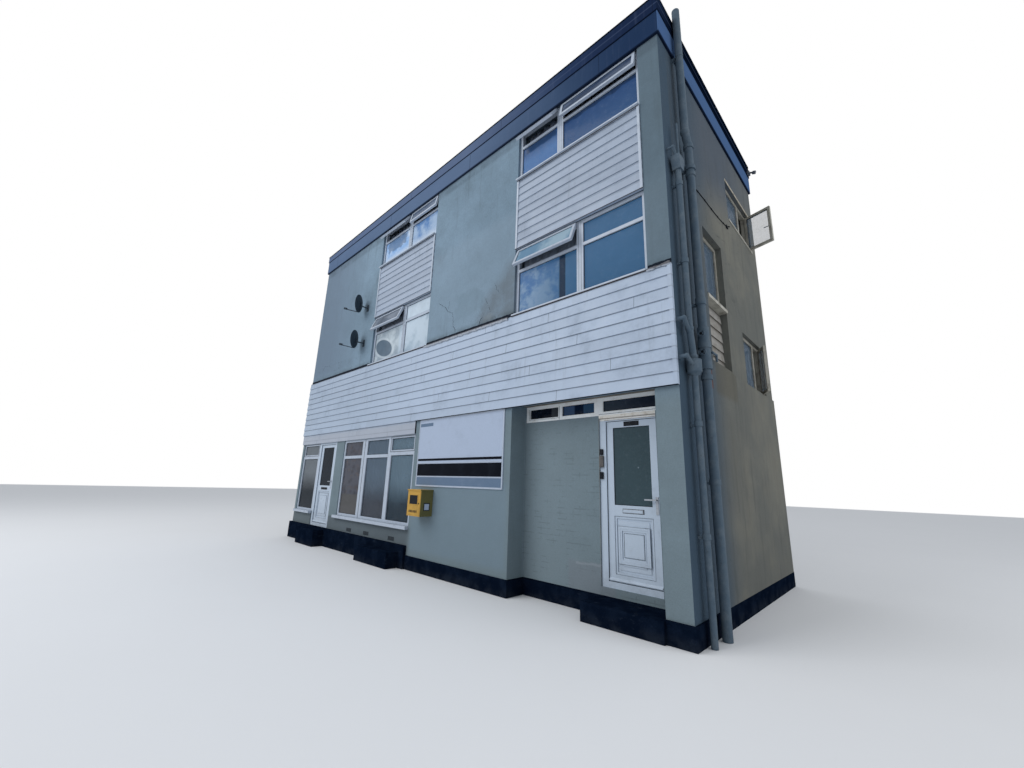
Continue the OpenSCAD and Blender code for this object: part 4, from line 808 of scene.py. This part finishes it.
def gasket(m, corners, wide=0.007, proud=0.0025, sunk=0.0002):
    """Rubber rings on both faces of one sheet of glass, whichever way it is turned."""
    base = corners[0]
    steps = sorted((c - base for c in corners[1:]), key=lambda d: d.length)
    t = steps[0]
    u = next(d for d in steps[1:] if abs(d.normalized().dot(t.normalized())) < 0.02)
    w = next(d for d in steps[1:] if max(abs(d.normalized().dot(q.normalized())) for q in (t, u)) < 0.02)
    n, a, b = t.normalized(), u.normalized() * wide, w.normalized() * wide
    for at, out in ((base, -n), (base + t, n)):
        outer = [at, at + u, at + u + w, at + w]
        inner = [at + a + b, at + u + b - a, at + u + w - a - b, at + w + a - b]
        rings = [[m.bm.verts.new(c + out * h) for c in ring] for ring, h in
                 ((outer, sunk), (outer, proud), (inner, proud), (inner, sunk))]
        for r, q in zip(rings, rings[1:] + rings[:1]):
            for k in range(4):
                m.bm.faces.new([r[k], r[(k + 1) % 4], q[(k + 1) % 4], q[k]])


for name, body in (("upper", "building"), ("front", "building"), ("shop_door", "shop_door"),
                   ("entrance_door", "entrance_door")):
    m = Mesh()
    for corners in panes(name + "_glass"):
        gasket(m, corners)
    m.done(name + "_gaskets", "rubber", body=body)

# Front and back of the dark lines on the frames of the shop windows
LINE_ON_FRAME = (0.0165, 0.0197)

# Moulded lines of their opening top lights
m = Mesh()
for x1, x2 in ((0.171, 1.063), (4.698, 5.506)):
    m.ring(grown((x1, x2, 2.143, 2.382), 0.028), *LINE_ON_FRAME, 0.008)
m.done("top_light_seals", "rubber", bevel=0.001)

# Groove where the two shop frames meet, and a dark strip of painted shade in the gap beside the board over
# the shop
m = Mesh()
m.box(3.56, 3.568, *LINE_ON_FRAME, 0.7, 2.43)
m.box(5.5535, 5.5575, -0.02, -0.0005, 2.436, 2.676)
m.done("frame_joint_and_gap_shade", "rubber", bevel=0.001)

# Curtains and a low partition close behind the shop windows
m = Mesh()
for x1, x2 in ((3.6, 4.6), (4.62, 5.55)):
    m.cloth(x1, x2, 1.12, 2.46, 0.15, 84, (0.01, 44, x1), (0.004, 97, 0.0))
m.done("shop_curtains", "curtain", smooth=True, thick=0.002)
m = Mesh()
m.box(2.62, 5.54, 0.17, 0.19, 0.72, 1.1)
m.row(14, 0.21, 2.66, 2.672, 0.164, 0.1698, 0.74, 1.08)
m.box(2.6, 5.56, 0.155, 0.205, 1.102, 1.125)
m.done("low_partition", "partition_board", bevel=0.002)

# Blinds behind the windows of the bays, behind the opened top lights too
m = Mesh()
for x in BAYS:
    a, b = x + 0.06, x + BAY_W - 0.06
    for z1, z2 in ((4.24, 5.36), (6.8, 7.73)):
        m.cloth(a, b, z1, z2, 0.17, 150, (0.012, 90, z1), (0.006, 37, a))
m.done("bay_blinds", "deep_blind", smooth=True, thick=0.002)

# Air bricks with their slots in the wall under the large shop window
m = Mesh()
for x in (3.28, 4.045, 5.024):
    m.box(x - 0.108, x + 0.108, -0.006, -0.0003, 0.428, 0.498)
    for z in (0.436, 0.456, 0.476):
        m.row(7, 0.027, x - 0.094, x - 0.078, -0.0085, -0.006, z, z + 0.01)
m.done("air_bricks", "terracotta", bevel=0.001)


def leaf_lines(name, leaf, face, plate, hole, fields):
    """Dark seals round a leaf, a dark ring of painted shade round its letter plate, and grey lines of painted
    shade round its panel and raised fields.
    """
    m = Mesh()
    m.ring(grown(leaf, -0.007), face - 0.0023, face, 0.007)
    # painted shade: a dark ring round the letter plate, wider on its right
    m.ring(plate, face - 0.0012, face, 0.005, 0.011)
    m.done(name + "_seals", "rubber", body=name)
    m = Mesh()
    # painted shade: grey lines round the cut-out of the panel and its raised fields
    m.ring(hole, face - 0.0015, face, 0.004)
    for field, y in fields:
        m.ring(field, y + 0.001, y + 0.0075, 0.004)
    m.done(name + "_panel_shade_lines", "seal_grey", body=name)


leaf_lines("shop_door", SHOP_LEAF, SHOP_FACE, (1.475, 1.805, 1.274, 1.32), (1.34, 1.94, 0.591, 1.23),
           (((1.392, 1.888, 0.643, 1.178), 0.0488), ((1.444, 1.836, 0.695, 1.126), 0.0408)))
leaf_lines("entrance_door", ENTRANCE_LEAF, ENTRANCE_FACE, (9.736, 10.011, 1.229, 1.275),
           (9.618, 10.13, 0.5, 1.182), ((OUTER_FIELD, 0.386), (INNER_FIELD, 0.386)))

# Moulding and raised field on the lower panel of the entrance door
m = Mesh()
for inset, y, t in ((0.027, 0.3815, 0.027), (0.052, 0.385, 0.025)):
    x1, x2, z1, z2 = grown(OUTER_FIELD, -inset)
    for a in (x1 - t, x2):
        m.box(a, a + t, y, 0.3988, z1 - t, z2 + t)
    for z in (z1 - t, z2):
        m.box(x1, x2, y, 0.3908, z, z + t)
x1, x2, z1, z2 = grown(INNER_FIELD, -0.004)
m.box(x1, x2, 0.386, 0.3908, z1, z2)
m.done("entrance_panel_moulding", "door_white", body="entrance_door", bevel=0.0016)

# White flap of the letter plate, a small pale disc on the glass and the lower stop of the entrance door
m = Mesh()
m.box(9.742, 10.005, 0.3785, 0.3806, 1.2345, 1.2695)
m.box(9.748, 9.999, 0.377, 0.3786, 1.2385, 1.244)
m.done("entrance_letter_flap", "door_white", "entrance_door", bevel=0.0008)
m = Mesh()
m.pin(9.96, 1.787, 0.4025, 0.399, 0.009, 20)
m.pin(9.96, 1.787, 0.399, 0.3975, 0.005, 20)
m.done("entrance_glass_mark", "curtain", body="entrance_door")
m = Mesh()
m.pin(10.195, 0.432, 0.3896, 0.385, 0.009, 18)
m.pin(10.195, 0.432, 0.385, 0.3835, 0.005, 18)
m.done("entrance_leaf_stop", "dark_box", "entrance_door")

# Face of the frame round the entrance door
POST_FACE = 0.3698

# Joints of the frames over the recess, and brown lines of dirt and painted shade at the door head
m = Mesh()
for joint in ((9.43, 10.318, 2.498, 2.503), (8.752, 8.758, 2.486, 2.69), (8.165, 8.753, 2.516, 2.52),
              (8.165, 8.169, 2.52, 2.69)):
    m.box(*joint[:2], 0.3482, 0.3498, *joint[2:])
m.done("recess_frame_joints", "seal_grey")
m = Mesh()
# dirt and painted shade: brown lines in the shaded corner under the rail and over the leaf; the upright line
# by the jamb is dirt
m.box(9.432, 10.316, 0.366, POST_FACE, 2.434, 2.4425)
m.box(9.5, 10.25, 0.3672, POST_FACE, 2.4105, 2.415)
m.box(9.4245, 9.4275, 0.349, POST_FACE, 0.42, 2.44)
m.done("door_head_edges", "head_edge", bevel=0.001)

# Shop door: slot of the letter plate and its dark flap
m = Mesh()
m.box(1.475, 1.805, 0.0305, 0.0335, 1.275, 1.319)
m.box(1.49, 1.79, 0.027, 0.0305, 1.283, 1.306)
m.done("shop_letter_flap", "dark_box", "shop_door", bevel=0.001)

# Plain plate with no writing over the glass of the entrance door
m = Mesh()
m.box(9.782, 9.992, 0.3825, ENTRANCE_FACE, 2.321, 2.38)
m.box(9.79, 9.984, 0.381, 0.3825, 2.328, 2.373)
for x in (9.796, 9.978):
    m.pin(x, 2.3505, 0.3812, 0.3795, 0.003, 10)
m.done("door_plate", "dark_box", "entrance_door", bevel=0.001)

# Entry devices on the left member of the entrance frame
m = Mesh()
m.box(9.432, 9.486, 0.34, POST_FACE, 1.79, 1.942)
for k in range(4):
    m.pin(9.459, 1.905 - 0.026 * k, 0.34, 0.337, 0.007, 14)
for k in range(5):
    z = 1.808 - 0.0035 * k
    m.box(9.44, 9.478, 0.3385, 0.34, z, z + 0.0015)
m.done("entry_panel", "beige_box", bevel=0.002)
m = Mesh()
m.box(9.438, 9.48, 0.348, POST_FACE, 1.955, 2.03)
m.box(9.444, 9.474, 0.3465, 0.348, 1.965, 2.02)
m.box(9.438, 9.48, 0.344, POST_FACE, 1.64, 1.73)
m.pin(9.459, 1.7, 0.344, 0.34, 0.01, 16)
m.box(9.447, 9.471, 0.342, 0.344, 1.65, 1.682)
m.done("bell_and_lock", "dark_box", bevel=0.002)

# Dark lines below the leaves
m = Mesh()
m.box(9.52, 10.228, 0.3905, 0.3965, 0.391, 0.3965)
m.box(1.216, 2.064, 0.0405, 0.0465, 0.456, 0.4615)
m.done("threshold_seals", "rubber", bevel=0.0005)

# Weather bar on the foot of each leaf
for name, x1, x2, back, front, top in (("entrance", 9.53, 10.218, 0.3895, 0.366, 0.452),
                                       ("shop", 1.226, 2.054, 0.0395, 0.016, 0.517)):
    m = Mesh()
    m.bent_strip(x1, x2, (back, front, back), (top, top - 0.028, top - 0.034))
    m.done(name + "_weather_bar", "door_white", body=name + "_door", thick=0.002)

# Sign without words: pale border, two dark bars and blue-grey ones
x1, x2, z1, z2 = SIGN
inner1, inner2 = x1 + 0.03, x2 - 0.03
m = Mesh()
m.ring(grown(SIGN, -0.022), -0.0155, SIGN_FACE, 0.022)
for z in (1.858, 1.622):
    m.box(inner1, inner2, -0.0155, SIGN_FACE, z, z + 0.014)
m.done("sign_border", "window_frames", bevel=0.001)
m = Mesh()
m.box(inner1, inner2, -0.0148, SIGN_FACE, 1.64, 1.852)
m.box(inner1, inner2, -0.0148, SIGN_FACE, 1.905, 1.945)
m.done("sign_dark_bars", "black_sheet", bevel=0.0005)
m = Mesh()
m.box(inner1, inner2, -0.0146, SIGN_FACE, 1.48, 1.616)
m.box(inner1, x1 + 0.42, -0.0146, SIGN_FACE, 2.54, 2.6)
m.done("sign_blue_bar", "blue_sheet", bevel=0.0005)
m = Mesh()
middle = ((x1 + x2) / 2, (z1 + z2) / 2)
for x in (x1 + 0.011, middle[0], x2 - 0.011):
    for z in (z1 + 0.011, middle[1], z2 - 0.011):
        if (x, z) != middle:
            m.pin(x, z, -0.0155, -0.019, 0.006, 12)
m.done("sign_screws", "door_metal", smooth=True)

# Cabinet: raised lid and door, framed window, lock, vents and a plate on its right end.
# WINDOW is the window in its door, and ON_DOOR the y just in front of that door.
x1, x2, z1, z2 = CABINET
WINDOW = (5.941, 6.179, 1.15, 1.3)
ON_DOOR = -0.2556
m = Mesh()
m.box(x1 - 0.012, x2 + 0.012, CABINET_FACE - 0.012, -0.0005, z2 + 0.0005, z2 + 0.022)
m.box(x1 + 0.018, x2 - 0.018, CABINET_FACE - 0.0055, CABINET_FACE - 0.0003, z1 + 0.022, z2 - 0.02)
m.ring(WINDOW, -0.2615, ON_DOOR, 0.016)
m.done("cabinet_door", "cabinet_yellow", bevel=0.003)
m = Mesh()
a, b, c, d = grown(WINDOW, -0.001)
m.box(a, b, -0.2585, -0.2558, c, d)
m.pin(6.215, 1.165, -0.2557, -0.26, 0.012, 18)
m.row(6, 0.042, 5.935, 5.961, -0.2575, ON_DOOR, 1.01, 1.05)
m.box(x2 + 0.0002, x2 + 0.0022, -0.185, -0.06, 1.045, 1.175)
m.done("cabinet_window", "dark_box", bevel=0.001)
m = Mesh()
m.box(x2 + 0.0024, x2 + 0.004, -0.17, -0.075, 1.06, 1.16)
for y in (-0.162, -0.083):
    for z in (1.068, 1.152):
        m.tube([(x2 + 0.004, y, z), (x2 + 0.0052, y, z)], 0.0035)
m.done("cabinet_side_plate", "sign_face", bevel=0.0005)

# Ragged mortar on the top edge of the band with a dark lead strip over it; the strip's near-black colour also
# paints the shadow along the top of the band
random.seed(5)


def ragged(u, phase):
    waves = ((0.5, 31, 1), (0.3, 83, 2), (0.2, 191, 3))
    return sum(height * math.sin(u * turns + phase * k) for height, turns, k in waves)


m = Mesh()
for x1, x2, n, rise, lift in ((5.655, 8.0, 330, 0.0, 0.0), (10.4, 10.698, 46, 0.014, 0.02)):

    def bead(u, v):
        x = x1 + (x2 - x1) * u
        lump = 0.004 * ragged(x * 2.3, 9 * v) + random.uniform(-0.002, 0.002)
        foot = 4.134 + 0.012 * ragged(x, 1.0) + lift
        top = 4.186 + 0.004 * ragged(x, 4.0) + rise * (0.6 + 0.4 * math.sin(u * 9)) * u
        z = foot + (top - foot) * min(v * 1.35, 1.0)
        y = -0.052 + 0.05 * (v - 0.75) / 0.25
        if v < 0.75:
            y = -0.0508 - 0.011 * math.sin(math.pi * min(v * 1.1, 1.0))
        return x, y - abs(lump), z

    m.sheet(bead, n, 8)
m.done("mortar_on_band", "mortar", smooth=True)

# The profile of the lead strip: y, z and how much z wanders
LEAD = ((-0.048, 4.1815, 0.0), (-0.012, 4.2, 0.0), (-0.0105, 4.25, 0.004), (-0.001, 4.256, 0.005))
# lead strip, near-black as a painted shadow along the top of the band as well
m = Mesh()
for x1, x2 in ((0.004, 3.352), (5.678, 8.072), (10.398, 10.696)):

    def lap(u, v):
        x = x1 + (x2 - x1) * u
        y, z, wander = LEAD[round(v * 3)]
        return x, y, z + wander * ragged(x, 2.0)

    m.sheet(lap, 160, 3)
m.done("lead_strip_and_shadow", "dark_lead_and_shadow", smooth=True, thick=0.002)


def crack(m, wide, seed, *points):
    """Open line on the front through points given as x and z, with a jitter and an uneven width."""
    rng = random.Random(seed)
    path = []
    for (xa, za), (xb, zb) in zip(points, points[1:]):
        for k in range(6):
            t = k / 6
            x = xa + (xb - xa) * t + rng.uniform(-0.012, 0.012)
            path.append((x, za + (zb - za) * t + rng.uniform(-0.012, 0.012)))
    path.append(points[-1])
    last = None
    for k, (x, z) in enumerate(path):
        w = wide * rng.uniform(0.4, 1.0) * (0.3 if k in (0, len(path) - 1) else 1.0)
        q = [m.corner(x - w / 2, -0.0006, z), m.corner(x + w / 2, -0.0006, z + w * 0.4)]
        if last:
            m.bm.faces.new([last[0], last[1], q[1], q[0]])
        last = q


# Hair cracks and open joints of the render between the bays and on the left wall piece
m = Mesh()
crack(m, 0.01, 1, (5.99, 5.02), (6.21, 4.88), (6.29, 4.78), (6.45, 4.7), (6.48, 4.56), (6.5, 4.41),
      (6.56, 4.34), (6.57, 4.26))
crack(m, 0.007, 2, (6.29, 4.78), (6.34, 4.9), (6.33, 4.98))
crack(m, 0.016, 3, (7.33, 4.385), (7.25, 4.32), (7.25, 4.27))
crack(m, 0.006, 4, (7.6, 4.95), (7.66, 4.8), (7.72, 4.72))
crack(m, 0.006, 5, (0.62, 4.62), (1.1, 4.58), (1.46, 4.6), (1.9, 4.55))
m.done("render_cracks", "crack_line", thick=0.0003)

# Painted shadow under the band over the recess and the ground floor walls: dark strips for the soffit boards
# in shade, with a shadow gap
m = Mesh()
m.box(5.56, 8.113, -0.0495, -0.0005, BAND_Z - 0.0015, BAND_Z - 0.0003)
for k in range(3):
    y = -0.0485 + 0.016 * k
    m.box(5.56, 10.698, y, y + 0.01, BAND_Z - 0.0035, BAND_Z - 0.0016)
m.done("band_soffit_shadow", "dark_lead_and_shadow")

# High side window: pale lining over it, with a worn edge; its pale colour is also a painted highlight for the
# lit edge of the reveal
m = Mesh()
m.box(10.7005, 10.708, 2.65, 4.11, 6.994, 7.036)
for k in range(9):
    y = 2.7 + 0.155 * k
    m.box(10.708, 10.7105, y, y + 0.075, 7.0 + 0.002 * (k % 3), 7.026)
m.done("high_window_lining_lit_edge", "pale_lining", bevel=0.002)

# Cable fixed along the right wall to a small fitting, with its clips
m = Mesh()
steps = [k / 24 for k in range(25)]
route = [(10.7075, 0.7 + 1.74 * t, 5.8 + 0.15 * t + 0.018 * math.sin(t * 6.2)) for t in steps]
m.tube(route, 0.006, 10)
for x, y, z in route[2:24:4]:
    m.box(10.7002, 10.7165, y - 0.006, y + 0.006, z - 0.01, z + 0.012)
m.done("wall_cable", "rubber")
m = Mesh()
m.box(10.7003, 10.722, 2.44, 2.52, 5.925, 5.975)
m.tube([(10.722, 2.48, 5.95), (10.74, 2.48, 5.945), (10.752, 2.48, 5.93)], 0.009)
m.done("wall_fitting", "dark_box", bevel=0.003)

# Fitting high on the side fascia
m = Mesh()
m.box(10.7445, 10.79, 4.27, 4.375, 8.14, 8.215)
m.tube([(10.79, 4.326, 8.18), (10.815, 4.326, 8.172), (10.84, 4.326, 8.158)], 0.018)
m.tube([(10.84, 4.326, 8.158), (10.895, 4.326, 8.138)], 0.036, 20)
m.done("fascia_fitting", "grey_box", bevel=0.004)

# Four bolts round the knob of each access cover of the soil stack
STACK_X = 10.805
m = Mesh()
for z in (3.17, 3.405):
    for k in range(4):
        t = math.radians(45 + 90 * k)
        m.pin(STACK_X + 0.031 * math.cos(t), z + 0.031 * math.sin(t), 0.4912, 0.4855, 0.0055, 6)
    m.pin(STACK_X, z, 0.4912, 0.489, 0.017, 20)
m.done("access_cover_bolts", "rubber")

# Handle and stay of the open casement high on the right wall
m = Mesh()
m.box(11.07, 11.083, 3.944, 3.952, 6.545, 6.665)
m.tube([(11.076, 3.95, 6.6), (11.07, 3.985, 6.6), (11.03, 3.996, 6.6), (10.975, 4.004, 6.6)], 0.008)
m.done("casement_handle", "dark_box", bevel=0.002)

# Roof: laps of the felt, and the flashing at the foot of the kerb
m = Mesh()
m.row(10, 1.0, 0.75, 0.825, 0.19, 4.21, 8.0302, 8.0345)
m.done("felt_laps", "roof_felt", bevel=0.002)
m = Mesh()
for ys in ((0.3, 0.2, 0.1805), (4.1, 4.2, 4.2195)):
    m.bent_strip(0.182, 10.518, ys, (8.0355, 8.05, 8.14), 40)
m.done("kerb_flashing", "roof_felt", smooth=True, thick=0.004)

# Camera at the photographer's place, its focal length in pixels of a picture that is PHOTO_W wide
CAMERA_AT, FOCAL, PHOTO_W = (7.137, -6.765, 1.521), 417.61, 1024.0
yaw, pitch, roll = (math.radians(a) for a in (-43.88, 13.63, 1.88))
cam = bpy.data.cameras.new("camera")
cam_ob = bpy.data.objects.new("camera", cam)
scene.collection.objects.link(cam_ob)
fwd = Vector((math.sin(yaw) * math.cos(pitch), math.cos(yaw) * math.cos(pitch), math.sin(pitch)))
right = Vector((math.cos(yaw), -math.sin(yaw), 0.0))
up = right.cross(fwd)
right, up = right * math.cos(roll) + up * math.sin(roll), up * math.cos(roll) - right * math.sin(roll)
turn = Matrix((right, up, -fwd)).transposed()
cam_ob.matrix_world = Matrix.Translation(CAMERA_AT) @ turn.to_4x4()
cam.sensor_width = 36.0
cam.lens = cam.sensor_width * FOCAL / PHOTO_W
cam.clip_start = 0.05
cam.clip_end = 200.0
scene.camera = cam_ob

# Plain pale floor, white surroundings and soft studio light
bpy.ops.mesh.primitive_plane_add(size=120.0, location=(0, 0, -0.002))
floor = bpy.context.object
floor.name = "floor"
s = Shader("studio_floor", 0.9, 0.1)
s.finish(s.tone((226, 228, 231), s.noise(0.6, 2), 0.99, 1.01), 0.9)
floor.data.materials.append(s.mat)

world = bpy.data.worlds.new("studio")
scene.world = world
world.use_nodes = True
tree = world.node_tree
sky = tree.nodes["Background"]
seen = tree.nodes.new("ShaderNodeBackground")
for node, color, strength in ((sky, (0.93, 0.96, 1.0, 1.0), 0.66), (seen, (1.0, 1.0, 1.0, 1.0), 1.0)):
    node.inputs["Color"].default_value = color
    node.inputs["Strength"].default_value = strength
pick = tree.nodes.new("ShaderNodeMixShader")
ray = tree.nodes.new("ShaderNodeLightPath")
tree.links.new(ray.outputs["Is Camera Ray"], pick.inputs[0])
tree.links.new(sky.outputs[0], pick.inputs[1])
tree.links.new(seen.outputs[0], pick.inputs[2])
tree.links.new(pick.outputs[0], tree.nodes["World Output"].inputs["Surface"])


def lamp(name, place, target, size, watts):
    data = bpy.data.lights.new(name, "AREA")
    data.shape = "SQUARE"
    data.size = size
    data.energy = watts
    ob = bpy.data.objects.new(name, data)
    scene.collection.objects.link(ob)
    ob.location = place
    ob.rotation_euler = (Vector(target) - Vector(place)).to_track_quat("-Z", "Y").to_euler()


lamp("key", (-5.0, -17.0, 15.0), (0, 0, 4.0), 14.0, 1900)
lamp("side", (18.0, 2.0, 10.0), (5.0, 0, 4.0), 10.0, 560)

scene.view_settings.view_transform = "Standard"
